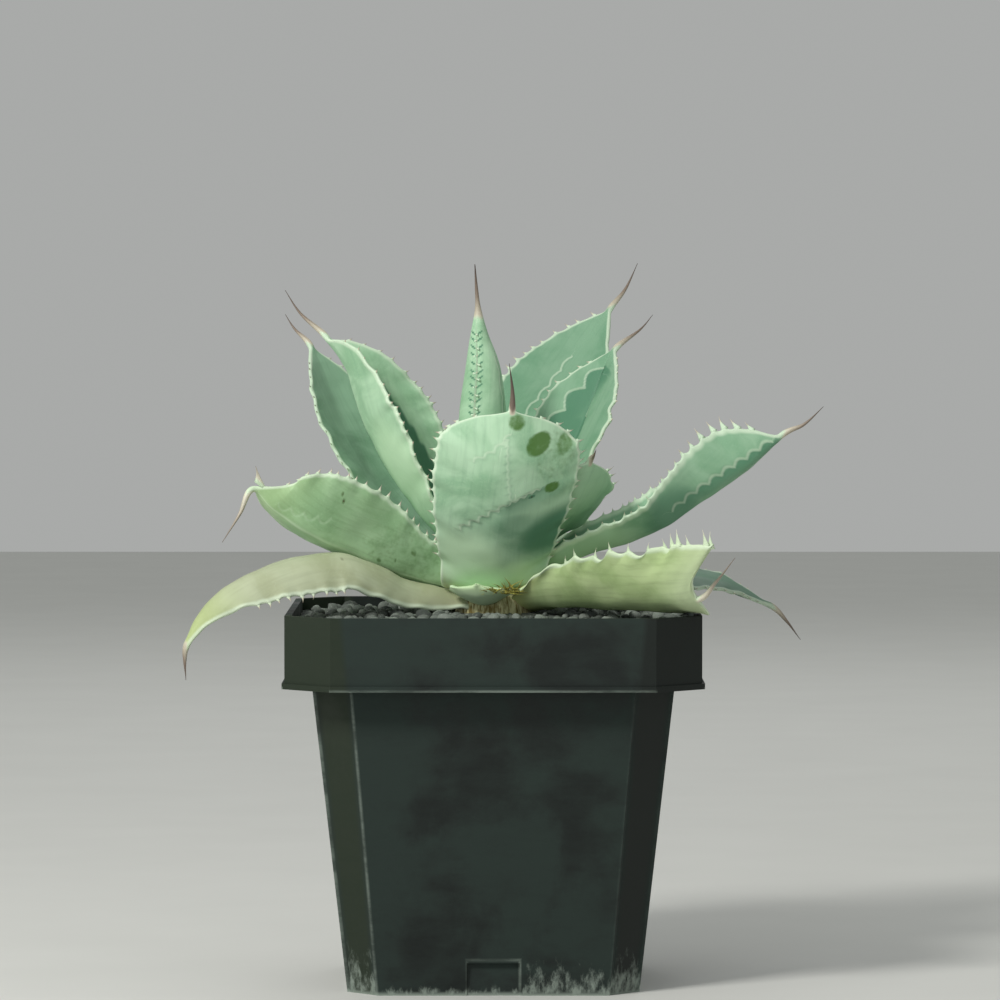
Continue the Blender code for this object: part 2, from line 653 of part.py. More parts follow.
def make_bud(parts, stem_gap, skin, spine):
    """The rolled young leaf: a slender cone whose free edge wraps over it, with that edge's teeth."""
    bm = bmesh.new()
    spine_heights = [point[2] for point in BUD[-BUD_SPINE_POINTS:]]
    steps = math.ceil((spine_heights[0] - BUD[0][2]) / BUD_RING_STEP)
    heights = [BUD[0][2] + BUD_RING_STEP * k for k in range(steps)]
    rings = [bud_ring(bm, z, True) for z in heights] + [bud_ring(bm, z, False) for z in spine_heights]
    last = len(rings) - 2
    seam = BUD_SIDES - 2
    for i, (lower, upper) in enumerate(zip(rings, rings[1:])):
        toothed = i % BUD_TEETH_RINGS == 0 and BUD_TEETH_FROM <= i < last - BUD_TEETH_BEFORE_END
        for k in range(BUD_SIDES):
            j = (k + 1) % BUD_SIDES
            quad = (lower[k], lower[j], upper[j], upper[k])
            if toothed and k == seam:
                x, y, z, _ = bud_at(lower[k].co.z)
                away = (lower[k].co - Vector((x, y, z))).normalized()
                raise_tooth(bm, quad, away * BUD_TOOTH_OUT + Vector((0, 0, BUD_TOOTH_UP)))
            else:
                bm.faces.new(quad).material_index = SPINE if i >= last - 1 else SKIN
    bm.faces.new(rings[0])
    bm.faces.new(rings[-1]).material_index = SPINE
    cut(add_object("bud", bm, parts, skin, spine), stem_gap)


# Plant

def stem_profile(gap=0.0):
    """The stem's outside, or that outside grown by a gap for what lies against it."""
    foot = STEM_PROFILE[-1][1]
    return [(radius + gap if radius else 0.0, z + gap if z > foot else z - 3 * gap) for radius, z in STEM_PROFILE]


def make_plant(parts, cutters):
    """The stem, its leaves and the rolled young leaf on top. Gives back the stem's clearance helper."""
    add_turned("stem", stem_profile(), STEM_SIDES, parts, material("leaf bases", STEM_COLOUR, 0.7))
    stem_gap = make_cutter(add_turned("stem_gap", stem_profile(CLEARANCE * 1.15), STEM_SIDES, cutters))
    skins = {tone: material("leaf " + tone, colour, 0.6) for tone, colour in TONES.items()}
    spine = material("spine", SPINE_COLOUR, 0.45)
    for number, leaf in enumerate(LEAVES):
        blade = leaf_mesh(leaf, random.Random(SEED + number))
        cut(add_object(leaf.name, blade, parts, skins[leaf.tone], spine), stem_gap)
    make_bud(parts, stem_gap, skins["mint"], spine)
    return stem_gap


def main():
    """Builds the potted agave."""
    clear_scene()
    parts = new_collection("potted agave")
    cutters = new_collection("cutters", hidden=True)
    make_pot(parts, cutters)
    make_soil(parts)
    stem_gap = make_plant(parts, cutters)
    make_grit(parts, stem_gap)


main()
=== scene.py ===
"""Dressed model of the potted agave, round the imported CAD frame: leaves, pot, filling and a plain studio."""
import logging
import math
import random
from collections.abc import Callable
from dataclasses import dataclass, field
from enum import Enum
from functools import partial, reduce

import bmesh
import bpy
import numpy as np
from mathutils import Euler, Matrix, Vector


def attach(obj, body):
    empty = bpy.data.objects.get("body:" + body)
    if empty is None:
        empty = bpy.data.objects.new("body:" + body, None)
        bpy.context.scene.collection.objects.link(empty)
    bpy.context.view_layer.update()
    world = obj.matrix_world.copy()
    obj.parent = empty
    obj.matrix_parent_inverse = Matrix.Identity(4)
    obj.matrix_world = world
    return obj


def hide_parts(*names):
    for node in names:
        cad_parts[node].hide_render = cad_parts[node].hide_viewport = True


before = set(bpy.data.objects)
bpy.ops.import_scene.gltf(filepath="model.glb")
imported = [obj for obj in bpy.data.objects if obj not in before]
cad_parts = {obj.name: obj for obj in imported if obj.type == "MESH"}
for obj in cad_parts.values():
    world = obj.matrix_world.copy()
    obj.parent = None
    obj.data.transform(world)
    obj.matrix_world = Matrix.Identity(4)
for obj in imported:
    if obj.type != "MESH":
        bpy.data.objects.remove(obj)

LOG = logging.getLogger("potted_agave")
MM = 0.001
BODY = "root"
SEED = 11
NO_PRINT = 50.0                     # distance that stands for no print near, mm
UNRUBBED = 9.0                      # distance that stands for no rubbed spot near, in spot radii
SIDES = (-1, 1)                     # a leaf's right and left margin, seen from the stem

Feed = float | str | tuple | bpy.types.Node | bpy.types.NodeSocket | None
Adder = Callable[..., bpy.types.Node]


class Slot(Enum):
    """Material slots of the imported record."""

    POT = "pot_plastic"
    GRIT = "grit"
    LEAF_BASE = "leaf_base"
    MINT = "leaf_mint"
    SHADE = "leaf_shade"
    OLIVE = "leaf_olive"
    CREAM = "leaf_cream"
    YELLOW = "leaf_yellow"


class Face(Enum):
    """The two faces of a leaf: the outer one looks away from the rosette's middle."""

    OUTER = 0
    INNER = 1


OUTER, INNER = Face


class Kind(Enum):
    """Shader nodes in use: each one's type, and the settings that give it its job."""

    COORDINATES = ("TexCoord", {})
    ATTRIBUTE = ("Attribute", {})
    SPLIT = ("SeparateXYZ", {})
    MAPPING = ("Mapping", {})
    STRETCH = ("VectorMath", {"operation": "MULTIPLY"})
    NOISE = ("TexNoise", {})
    RAMP = ("ValToRGB", {})
    RANGE = ("MapRange", {})
    EASE = ("MapRange", {"interpolation_type": "SMOOTHSTEP"})
    MIX = ("Mix", {"data_type": "RGBA"})
    BUMP = ("Bump", {})
    ABSOLUTE = ("Math", {"operation": "ABSOLUTE"})
    ADD = ("Math", {"operation": "ADD"})
    SUBTRACT = ("Math", {"operation": "SUBTRACT"})
    MULTIPLY = ("Math", {"operation": "MULTIPLY"})
    DIVIDE = ("Math", {"operation": "DIVIDE"})
    MULTIPLY_ADD = ("Math", {"operation": "MULTIPLY_ADD"})
    MINIMUM = ("Math", {"operation": "MINIMUM"})
    MAXIMUM = ("Math", {"operation": "MAXIMUM"})
    LESS_THAN = ("Math", {"operation": "LESS_THAN"})
    GREATER_THAN = ("Math", {"operation": "GREATER_THAN"})


# Small tools

def linear(code: str) -> tuple[float, float, float, float]:
    """Turns an sRGB hex colour to linear.

    Args:
        code: Colour as "#RRGGBB".

    Returns:
        Linear red, green, blue and full alpha.
    """
    shares = (int(code[k:k + 2], 16) / 255 for k in (1, 3, 5))
    red, green, blue = (v / 12.92 if v <= 0.04045 else ((v + 0.055) / 1.055) ** 2.4 for v in shares)
    return red, green, blue, 1.0


def per_mm(size: float) -> float:
    """Texture scale, in metres, for a pattern whose cell is this many mm."""
    return 1.0 / (size * MM)


def feed(socket: bpy.types.NodeSocket, value: Feed) -> None:
    """Gives a socket what it reads.

    Args:
        socket: An input.
        value: A number, a vector, a hex colour, a socket, a node for its first output in use, or None to leave
            the input as it is.
    """
    if isinstance(value, bpy.types.Node):
        value = next(output for output in value.outputs if output.enabled)
    if isinstance(value, bpy.types.NodeSocket):
        socket.id_data.links.new(value, socket)
    elif value is not None:
        socket.default_value = linear(value) if isinstance(value, str) else value


def add_node(tree: bpy.types.NodeTree, kind: Kind, *inputs: Feed, stops: tuple = (),
             **settings: str) -> bpy.types.Node:
    """Adds one shader node with its settings, values and links.

    Args:
        tree: Node tree it goes into.
        kind: Which node.
        inputs: What each input in use reads, in the node's own order.
        stops: Places and hex colours of a colour ramp.
        settings: The node's own properties, beyond those of its kind.

    Returns:
        The new node.
    """
    name, usual = kind.value
    made = tree.nodes.new("ShaderNode" + name)
    for key, value in (usual | settings).items():
        setattr(made, key, value)
    for socket, value in zip([socket for socket in made.inputs if socket.enabled], inputs):
        feed(socket, value)
    for k, (place, colour) in enumerate(stops):
        element = made.color_ramp.elements[k] if k < 2 else made.color_ramp.elements.new(place)
        element.position, element.color = place, linear(colour)
    return made


def add_object(name: str, data: bpy.types.ID) -> bpy.types.Object:
    """Adds an object to the scene.

    Args:
        name: Its name.
        data: Its mesh, light or camera.

    Returns:
        The object.
    """
    made = bpy.data.objects.new(name, data)
    bpy.context.scene.collection.objects.link(made)
    return made


def mesh_from(name: str, bm: bmesh.types.BMesh) -> bpy.types.Mesh:
    """Turns a bmesh, which this frees, into a mesh."""
    mesh = bpy.data.meshes.new(name)
    bm.to_mesh(mesh)
    bm.free()
    return mesh


def stacked(*values: float | np.ndarray) -> np.ndarray:
    """Marks of several values a point, from arrays and numbers that broadcast to one shape."""
    return np.stack(np.broadcast_arrays(*values), -1)


def smooth(share: float | np.ndarray) -> float | np.ndarray:
    """Eases a share, or an array of them, from 0 to 1."""
    share = np.clip(share, 0.0, 1.0)
    return share * share * (3 - 2 * share)


def unit(vectors: np.ndarray) -> np.ndarray:
    """Vectors of length 1 along the last axis."""
    return vectors / np.linalg.norm(vectors, axis=-1, keepdims=True)


def lengths_along(points: np.ndarray) -> np.ndarray:
    """How far along its line each point lies."""
    return np.concatenate([[0.0], np.cumsum(np.linalg.norm(np.diff(points, axis=0), axis=1))])


def curve_points(points: np.ndarray, shares: np.ndarray) -> np.ndarray:
    """Positions on a Catmull-Rom curve through the points.

    Args:
        points: Control points, one a row.
        shares: Places from 0 to 1 along the points' count.

    Returns:
        One position for each share.
    """
    place = np.clip(shares, 0.0, 1.0) * (len(points) - 1)
    i = np.minimum(place.astype(int), len(points) - 2)
    u = (place - i)[:, None]
    padded = np.vstack([2 * points[0] - points[1], points, 2 * points[-1] - points[-2]])
    p0, p1, p2, p3 = (padded[i + k] for k in range(4))
    return 0.5 * (2 * p1 + (p2 - p0) * u + (2 * p0 - 5 * p1 + 4 * p2 - p3) * u ** 2
                  + (3 * p1 - p0 - 3 * p2 + p3) * u ** 3)


def even_stations(points: np.ndarray, first: float, last: float, step: float, samples: int = 1200) -> np.ndarray:
    """Points along part of a Catmull-Rom curve, evenly spaced.

    Args:
        points: Control points, in mm.
        first: Place on the curve where the part starts.
        last: Place where it ends.
        step: Wanted spacing, in mm.
        samples: How finely the curve is measured.

    Returns:
        The positions, ends included.
    """
    fine = curve_points(points, np.linspace(first, last, samples))
    along = lengths_along(fine)
    want = np.linspace(0.0, along[-1], max(int(along[-1] / step), 8) + 1)
    return np.stack([np.interp(want, along, fine[:, k]) for k in range(3)], axis=1)


def rings_round(middle: np.ndarray, first: np.ndarray, second: np.ndarray, girth: np.ndarray,
                sides: int) -> np.ndarray:
    """Rings round a line.

    Args:
        middle: The line's points, one a row.
        first: A half axis of the widest ring, or one for each ring.
        second: The other half axis.
        girth: Each ring's share of the widest.
        sides: Points in a ring.

    Returns:
        Their points, one row a ring.
    """
    turn = np.linspace(0, math.tau, sides, endpoint=False)[:, None]
    rings = first[..., None, :] * np.cos(turn) + second[..., None, :] * np.sin(turn)
    return middle[:, None] + girth[:, None, None] * rings


def ring_faces(rows: int, count: int, first: int = 0) -> list[tuple[int, ...]]:
    """Quads between rings of the same count, and a cap at both ends.

    Args:
        rows: How many rings there are.
        count: Points in each.
        first: Index of the first point.

    Returns:
        The faces, as point numbers.
    """
    faces = []
    for i in range(rows - 1):
        low, high = first + i * count, first + (i + 1) * count
        faces += [(low + k, low + (k + 1) % count, high + (k + 1) % count, high + k) for k in range(count)]
    faces.append(tuple(first + k for k in reversed(range(count))))
    faces.append(tuple(first + (rows - 1) * count + k for k in range(count)))
    return faces


@dataclass
class RingMesh:
    """A mesh put together from bodies of rings, with the marks that its material reads at each point."""

    points: list[np.ndarray] = field(default_factory=list)
    faces: list[tuple[int, ...]] = field(default_factory=list)
    marks: dict[str, list[np.ndarray]] = field(default_factory=dict)

    def add(self, rings: np.ndarray, **marks: np.ndarray | tuple) -> None:
        """Adds one body.

        Args:
            rings: Its points in mm, one row a ring.
            marks: Values for each point or for all of them, single or three in the last axis.
        """
        self.faces += ring_faces(*rings.shape[:2], sum(len(block) for block in self.points))
        self.points.append(rings.reshape(-1, 3))
        for key, values in marks.items():
            last = np.shape(values)[-1]
            spread = np.broadcast_to(values, (*rings.shape[:2], last)).reshape(-1, last)
            self.marks.setdefault(key, []).append(spread)

    def build(self, name: str, finish: bpy.types.Material, slot: Slot, *stands_for: str) -> bpy.types.Object:
        """Makes it a piece.

        Args:
            name: Piece name.
            finish: Its material.
            slot: The record's slot that it takes its finish from.
            stands_for: CAD nodes that it replaces.

        Returns:
            The object.
        """
        marks = {key: np.concatenate(blocks).squeeze() for key, blocks in self.marks.items()}
        return add_piece(name, np.vstack(self.points), self.faces, finish, slot, *stands_for, marks=marks)


def add_piece(name: str, points: np.ndarray, faces: list, finish: bpy.types.Material, slot: Slot,
              *stands_for: str, marks: dict | None = None) -> bpy.types.Object:
    """Makes a smooth mesh object from points in mm, and says what it rides on and stands for.

    Args:
        name: Piece name.
        points: Points in mm, one a row.
        faces: Faces, as point numbers.
        finish: Its material.
        slot: The record's slot that it takes its finish from. Not used.
        stands_for: CAD nodes that it replaces.
        marks: Named values for each point that its material reads, single or three a point.

    Returns:
        The object.
    """
    mesh = bpy.data.meshes.new(name)
    mesh.from_pydata((points * MM).tolist(), [], faces)
    mesh.shade_smooth()
    mesh.materials.append(finish)
    for key, values in (marks or {}).items():
        single = values.ndim == 1
        layer = mesh.attributes.new(key, "FLOAT" if single else "FLOAT_VECTOR", "POINT")
        layer.data.foreach_set("value" if single else "vector", values.astype(np.float32).ravel())
    piece = add_object(name, mesh)
    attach(piece, BODY)
    if stands_for:
        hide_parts(*stands_for)
    LOG.info("%s: %d points, %d faces", name, len(mesh.vertices), len(mesh.polygons))
    return piece


def dress_node(name: str, finish: bpy.types.Material) -> None:
    """Gives a CAD node that stays in view its finish.

    Args:
        name: The node's name.
        finish: Its material.
    """
    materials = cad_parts[name].data.materials
    materials.clear()
    materials.append(finish)


# Finishes

@dataclass(frozen=True)
class Finish:
    """What each finish starts from: a Principled shader of a material that is no metal."""

    name: str
    roughness: float = 0.6
    ior: float = 1.45

    def start(self) -> tuple[bpy.types.Material, Adder, bpy.types.bpy_prop_collection]:
        """Makes the material.

        Returns:
            The material, what adds a node to it, and its shader's inputs.
        """
        made = bpy.data.materials.new(self.name)
        made.use_nodes = True
        shader = made.node_tree.nodes["Principled BSDF"].inputs
        for key, value in (("Roughness", self.roughness), ("IOR", self.ior), ("Metallic", 0.0)):
            feed(shader[key], value)
        return made, partial(add_node, made.node_tree), shader

    @staticmethod
    def coat(add: Adder, colour: str, *layers: tuple) -> bpy.types.Node:
        """Lays colours over one another.

        Args:
            add: Adds a node to the material.
            colour: The lowest colour.
            layers: From the lowest up, a colour and the factors of its share. A factor is a value, or a tuple: a
                value, the level at which it gives nothing, the level at which it gives the most, and the most, 1
                where that is left out.

        Returns:
            The colour that shows.
        """
        for above, *factors in layers:
            shares = [add(Kind.EASE, *factor[:3], 0.0, *factor[3:]) if isinstance(factor, tuple) else factor
                      for factor in factors]
            colour = add(Kind.MIX, reduce(partial(add, Kind.MULTIPLY), shares), colour, above)
        return colour


@dataclass(frozen=True)
class GlaucousSkin(Finish):
    """Living agave skin under a bloom of wax, with horny teeth and spine grown on it.

    The wax makes it pale, matt and uneven: it is thicker in soft patches and gone where something rubbed it. The
    margin is a pale cord, the prints of older leaves' margins show as light lines, and horn is grey-brown. Light
    and
    shade are painted into it as well: painted shade beside the prints and in broad deeper stains, painted shadow
    in tooth dents, a painted highlight along the keel and painted light in broad pale stains.

    It reads five marks of the leaf:
    place: share along, share across, and the face, from 0 on the outer to 1 on the inner.
    marks: mm from the margin, distance from the nearest rubbed spot in its radii, deeper tone, much of it painted
    shade.
    print: mm from the nearest print, that print's strength, paleness, partly painted light.
    run: mm along and across, and a number that sets the two faces' veins apart.
    horn: share of the way up a tooth or the spine.
    """

    waxed: str = "#C3E4C4"
    skin: str = "#9CC8A2"
    deep: str = "#5F9A72"
    rubbed: str = "#456F22"
    foot: str = "#D5DDAE"
    tip: str = "#B4CFAE"
    pale_and_painted_light: str = "#D3F3CC"       # pale skin of the withered base, and painted light on under-lit places
    margin: str = "#DDEED5"
    scar: str = "#4B4226"
    horn: tuple[str, str, str] = ("#C9C2AE", "#86776A", "#3A2A25")
    patch_size: float = 16.0        # soft patches of wax, mm
    streak_size: float = 1.3        # across one vein, mm
    grain_size: float = 0.7         # wax grain; the real one is ten times finer and wouldn't show
    border_size: float = 1.8        # unevenness of a rubbed spot's border
    foot_share: float = 0.16        # pale part of the leaf at the stem
    tip_share: float = 0.0          # how far the leaf's end turns to its tip colour
    wear: float = 0.14              # how much bare skin shows through the wax
    keel_highlight: float = 0.0          # painted highlight along the outer keel
    bloom: float = 0.08             # velvety light that wax throws back at a slant

    def build(self) -> bpy.types.Material:
        """Makes the material.

        Returns:
            The material.
        """
        made, add, shader = self.start()
        for key, value in (("Sheen Weight", self.bloom), ("Sheen Roughness", 0.5), ("Sheen Tint", self.waxed)):
            feed(shader[key], value)
        where = add(Kind.COORDINATES).outputs["Object"]
        place, state, printed, run = (add(Kind.ATTRIBUTE, attribute_name=name).outputs["Vector"]
                                      for name in ("place", "marks", "print", "run"))
        along, across, face = add(Kind.SPLIT, place).outputs
        edge, rub, tone = add(Kind.SPLIT, state).outputs
        gap, strength, pale = add(Kind.SPLIT, printed).outputs
        horn = add(Kind.ATTRIBUTE, attribute_name="horn").outputs["Fac"]
        patches = add(Kind.NOISE, where, per_mm(self.patch_size), 4.0, 0.55, None, 0.6)
        grain = add(Kind.NOISE, where, per_mm(self.grain_size), 3.0)
        border = add(Kind.NOISE, where, per_mm(self.border_size), 2.0)
        vein = add(Kind.NOISE, add(Kind.STRETCH, run, (0.05, 1.0 / self.streak_size, 0.0)), 1.0, 3.0)
        bare = add(Kind.EASE, add(Kind.MULTIPLY_ADD, border, 0.22, rub), 1.22, 0.96, 0.0, 0.92)
        is_horn = add(Kind.EASE, add(Kind.MULTIPLY_ADD, vein, 0.12, horn), 0.1, 0.2)
        base, middle, point = self.horn

        colour = self.coat(
            add, self.skin,
            # Soft patches of wax, veins that run along the leaf and the wax's own grain
            (self.waxed, (patches, 0.34, 0.62)),
            (self.deep, (vein, 0.45, 0.75, self.wear)),
            (self.waxed, (grain, 0.5, 0.72, 0.22)),
            (self.tip, (along, 0.72, 0.98, self.tip_share)),
            (self.foot, (along, self.foot_share, 0.02, 0.85)),
            # Pale skin of the withered base, and painted light where the pale stains lie
            (self.pale_and_painted_light, (pale, 0.0, 1.0)),
            # Deeper tone, much of it painted shade: on the prints' shaded side, in tooth dents and in broad
            # stains; a painted shadow along each print's line on that side; on the print itself the wax is thick
            (self.deep, (tone, 0.0, 1.0, 0.96)),
            (self.deep, (gap, -1.6, -0.3, 0.4), (gap, 0.1, -0.2), strength),
            (self.margin, (add(Kind.ABSOLUTE, gap), 0.6, 0.1, 0.8), strength),
            # Rubbed spots with an uneven border, and small brown scars
            (self.rubbed, bare),
            (self.scar, (tone, 1.15, 1.7, 0.9)),
            # A painted highlight along the keel on the outer face, and the pale cord along the margins
            (self.margin, (add(Kind.ABSOLUTE, across), 0.07, 0.0, self.keel_highlight), (face, 0.5, 0.1)),
            (self.margin, (edge, 1.0, 0.25, 0.65)),
            # Horn starts in a ragged line and darkens towards its point
            (add(Kind.RAMP, horn, stops=((0.1, base), (0.95, point), (0.45, middle))), is_horn))
        gloss = add(Kind.RANGE, bare, 0.0, 1.0, self.roughness, 0.4)
        veined = add(Kind.BUMP, 0.2, 0.2 * MM, None, vein)
        feed(shader["Base Color"], colour)
        feed(shader["Roughness"], add(Kind.MULTIPLY_ADD, is_horn, -0.15, gloss))
        feed(shader["Normal"], add(Kind.BUMP, 0.25, 0.12 * MM, None, grain, veined))
        return made


@dataclass(frozen=True)
class MouldedPolypropylene(Finish):
    """Black polypropylene, injection moulded: dull, dusty after a season outdoors, limed at its foot, with painted
    highlights along its edges and painted light and shade on its corner panels.
    """

    clean: str = "#0B1210"
    dusty: str = "#26312D"
    lit_panel_tint: str = "#252E21"           # greenish tone painted on the lit corner panel, as painted light
    lime: str = "#A3B0A5"
    dust_size: float = 30.0         # clouds of dust, mm
    wipe_size: float = 28.0         # marks of a wiping hand, a quarter as high as they are wide
    grain_size: float = 0.9         # texture of the mould
    lime_height: float = 12.0       # how far lime climbs at the corners, mm
    lime_size: float = 2.4
    panel_edge: tuple[float, float] = (36.6, 0.0814)    # where a face ends at its foot, mm, and how that grows
    corner_dust_and_light: tuple[float, float] = (0.85, 0.1)      # share of dust on the corner panels, from -X to +X: more on the lit side, as painted light and shade
    corner_span: float = 40.0       # that share changes between these X, mm
    panel_border: float = 2.0       # it takes this far to change from a face to a corner panel
    edge_highlight: float = 0.42             # how pale the painted highlights along the edges are
    edge_highlight_width: float = 0.7
    recess: tuple[float, float] = (8.35, 11.4)          # half width and height of the recess in each face, mm
    lip: tuple[float, float] = (97.3, 66.0)             # height of the rim's lip, and how far out it lies, mm
    gleam: float = 0.3              # a moulding this dull and dusty mirrors less than clean plastic

    def build(self) -> bpy.types.Material:
        """Makes the material.

        Returns:
            The material.
        """
        made, add, shader = self.start()
        where = add(Kind.COORDINATES).outputs["Object"]
        x, y, z = add(Kind.SPLIT, where).outputs
        clouds = add(Kind.NOISE, where, per_mm(self.dust_size), 7.0, 0.62, None, 0.25)
        dust = add(Kind.EASE, clouds, 0.36, 0.58, 0.12, 0.9)
        stretched = add(Kind.MAPPING, where, None, (0.0, 0.5, 0.0), (1.0, 1.0, 4.0))
        wipes = add(Kind.NOISE, stretched, per_mm(self.wipe_size), 5.0, 0.7)
        dusted = add(Kind.ADD, dust, add(Kind.RANGE, wipes, 0.42, 0.7, 0.0, 0.35))

        # Painted light and shade on the corner panels: dusty and greenish on the lit left one, dark and bare on
        # the shaded right one
        across, deep = add(Kind.ABSOLUTE, x), add(Kind.ABSOLUTE, y)
        along_face = add(Kind.MINIMUM, across, deep)
        at_foot, growth = self.panel_edge
        beyond = add(Kind.SUBTRACT, along_face, add(Kind.MULTIPLY_ADD, z, growth, at_foot * MM))
        panel_light = add(Kind.RANGE, x, -self.corner_span * MM, self.corner_span * MM, *self.corner_dust_and_light)
        dusted = add(Kind.MULTIPLY, dusted, add(Kind.RANGE, beyond, 0.0, self.panel_border * MM, 1.0, panel_light))
        lit_panel_share = add(Kind.RANGE, beyond, 0.0, self.panel_border * MM, 0.0, panel_light)

        # Painted highlights, in the lime colour, where edges catch the light: between the panels below the rim,
        # strongest on the lit side, round the recesses, strongest towards their right walls, and along the rim's
        # lip
        half_wide, high = self.recess
        lip_height, lip_out = self.lip
        panel_highlight = add(Kind.MULTIPLY, panel_light, add(Kind.LESS_THAN, z, lip_height * MM))
        off_recess = add(Kind.MAXIMUM, add(Kind.SUBTRACT, along_face, half_wide * MM),
                         add(Kind.SUBTRACT, z, high * MM))
        recess_highlight = add(Kind.RANGE, x, -half_wide * MM, half_wide * MM, 0.2, 1.0)
        off_lip = add(Kind.SUBTRACT, z, lip_height * MM)
        lip_highlight = add(Kind.GREATER_THAN, add(Kind.MAXIMUM, across, deep), lip_out * MM)
        broken = add(Kind.RANGE, wipes, 0.4, 0.6, 0.1, self.edge_highlight)
        # wear below is the strength of each edge's painted highlight
        edge_highlights = [add(Kind.RANGE, add(Kind.ABSOLUTE, gap), self.edge_highlight_width * MM, 0.0, 0.0, wear)
                for gap, wear in ((beyond, panel_highlight), (off_recess, recess_highlight), (off_lip, lip_highlight))]

        # Lime in upright streaks: high on the corner panels and on one side of the recess, low along the faces
        at_corner = add(Kind.RANGE, beyond, 0.0, MM, 0.22, 1.0)
        by_recess = add(Kind.RANGE, x, half_wide * MM, (half_wide + 2) * MM, 0.0, 0.75)
        top = add(Kind.MULTIPLY, add(Kind.MAXIMUM, at_corner, by_recess), self.lime_height * MM)
        drawn = add(Kind.MAPPING, where, None, None, (1.0, 1.0, 0.45))
        flecks = add(Kind.NOISE, drawn, per_mm(self.lime_size), 7.0, 0.7)
        limed = add(Kind.ADD, add(Kind.DIVIDE, z, top), add(Kind.RANGE, flecks, 0.35, 0.65, 1.0, -0.2))
        lime = add(Kind.MAXIMUM, add(Kind.EASE, limed, 1.3, 0.0, 0.0, 0.6),
                   add(Kind.RANGE, z, 0.3 * MM, 1.4 * MM, 0.55, 0.0))

        grain = add(Kind.NOISE, where, per_mm(self.grain_size), 2.0)
        moulded = add(Kind.BUMP, 0.25, 0.08 * MM, None, grain)
        feed(shader["Base Color"], self.coat(add, self.clean, (self.dusty, dusted), (self.lit_panel_tint, lit_panel_share),
                                             *((self.lime, edge, broken) for edge in edge_highlights), (self.lime, lime)))
        feed(shader["Roughness"], add(Kind.RANGE, dusted, 0.0, 1.0, self.roughness, 0.85))
        feed(shader["Specular IOR Level"], self.gleam)
        feed(shader["Normal"], add(Kind.BUMP, 0.5, 0.15 * MM, None, lime, moulded))
        return made


@dataclass(frozen=True)
class MineralGrit(Finish):
    """Stone or soil in grains: dull, rough, each grain of a slightly different colour, from its mark shade."""

    dark: str = "#3A403C"
    light: str = "#8C948C"
    speckle: str = "#B9BFB4"
    cloud_size: float = 3.5         # mm, as is the next
    speckle_size: float = 0.8

    def build(self) -> bpy.types.Material:
        """Makes the material.

        Returns:
            The material.
        """
        made, add, shader = self.start()
        where = add(Kind.COORDINATES).outputs["Object"]
        shade = add(Kind.ATTRIBUTE, attribute_name="shade").outputs["Fac"]
        coarse = add(Kind.NOISE, where, per_mm(self.cloud_size), 4.0)
        fine = add(Kind.NOISE, where, per_mm(self.speckle_size), 4.0, 0.7)
        tone = add(Kind.RANGE, add(Kind.MULTIPLY_ADD, coarse, 0.5, shade), 0.2, 1.2)
        dots = add(Kind.RANGE, fine, 0.58, 0.7, 0.0, 0.5)
        feed(shader["Base Color"], self.coat(add, self.dark, (self.light, tone), (self.speckle, dots)))
        feed(shader["Normal"], add(Kind.BUMP, 0.6, 0.3 * MM, None, fine))
        return made


@dataclass(frozen=True)
class DeadFibre(Finish):
    """Dried leaf fibre and old leaf bases: pale straw with brown streaks, fibrous and matt."""

    straw: str = "#C9C79A"
    brown: str = "#6F6232"
    streak_size: float = 1.1        # mm

    def build(self) -> bpy.types.Material:
        """Makes the material.

        Returns:
            The material.
        """
        made, add, shader = self.start()
        drawn = add(Kind.MAPPING, add(Kind.COORDINATES).outputs["Object"], None, None, (1.0, 1.0, 0.15))
        streaks = add(Kind.NOISE, drawn, per_mm(self.streak_size), 4.0, 0.6)
        feed(shader["Base Color"], self.coat(add, self.straw, (self.brown, (streaks, 0.4, 0.66))))
        feed(shader["Normal"], add(Kind.BUMP, 0.6, 0.3 * MM, None, streaks))
        return made


@dataclass(frozen=True)
class StudioCard(Finish):
    """Matt white card under the pot: plain and pale, with the faintest mottle."""

    white: str = "#D9DAD6"
    mottle: str = "#D2D3CF"
    mottle_size: float = 60.0       # mm

    def build(self) -> bpy.types.Material:
        """Makes the material.

        Returns:
            The material.
        """
        made, add, shader = self.start()
        cloud = add(Kind.NOISE, add(Kind.COORDINATES).outputs["Object"], per_mm(self.mottle_size), 3.0)
        feed(shader["Base Color"], self.coat(add, self.white, (self.mottle, cloud)))
        return made


# Leaves

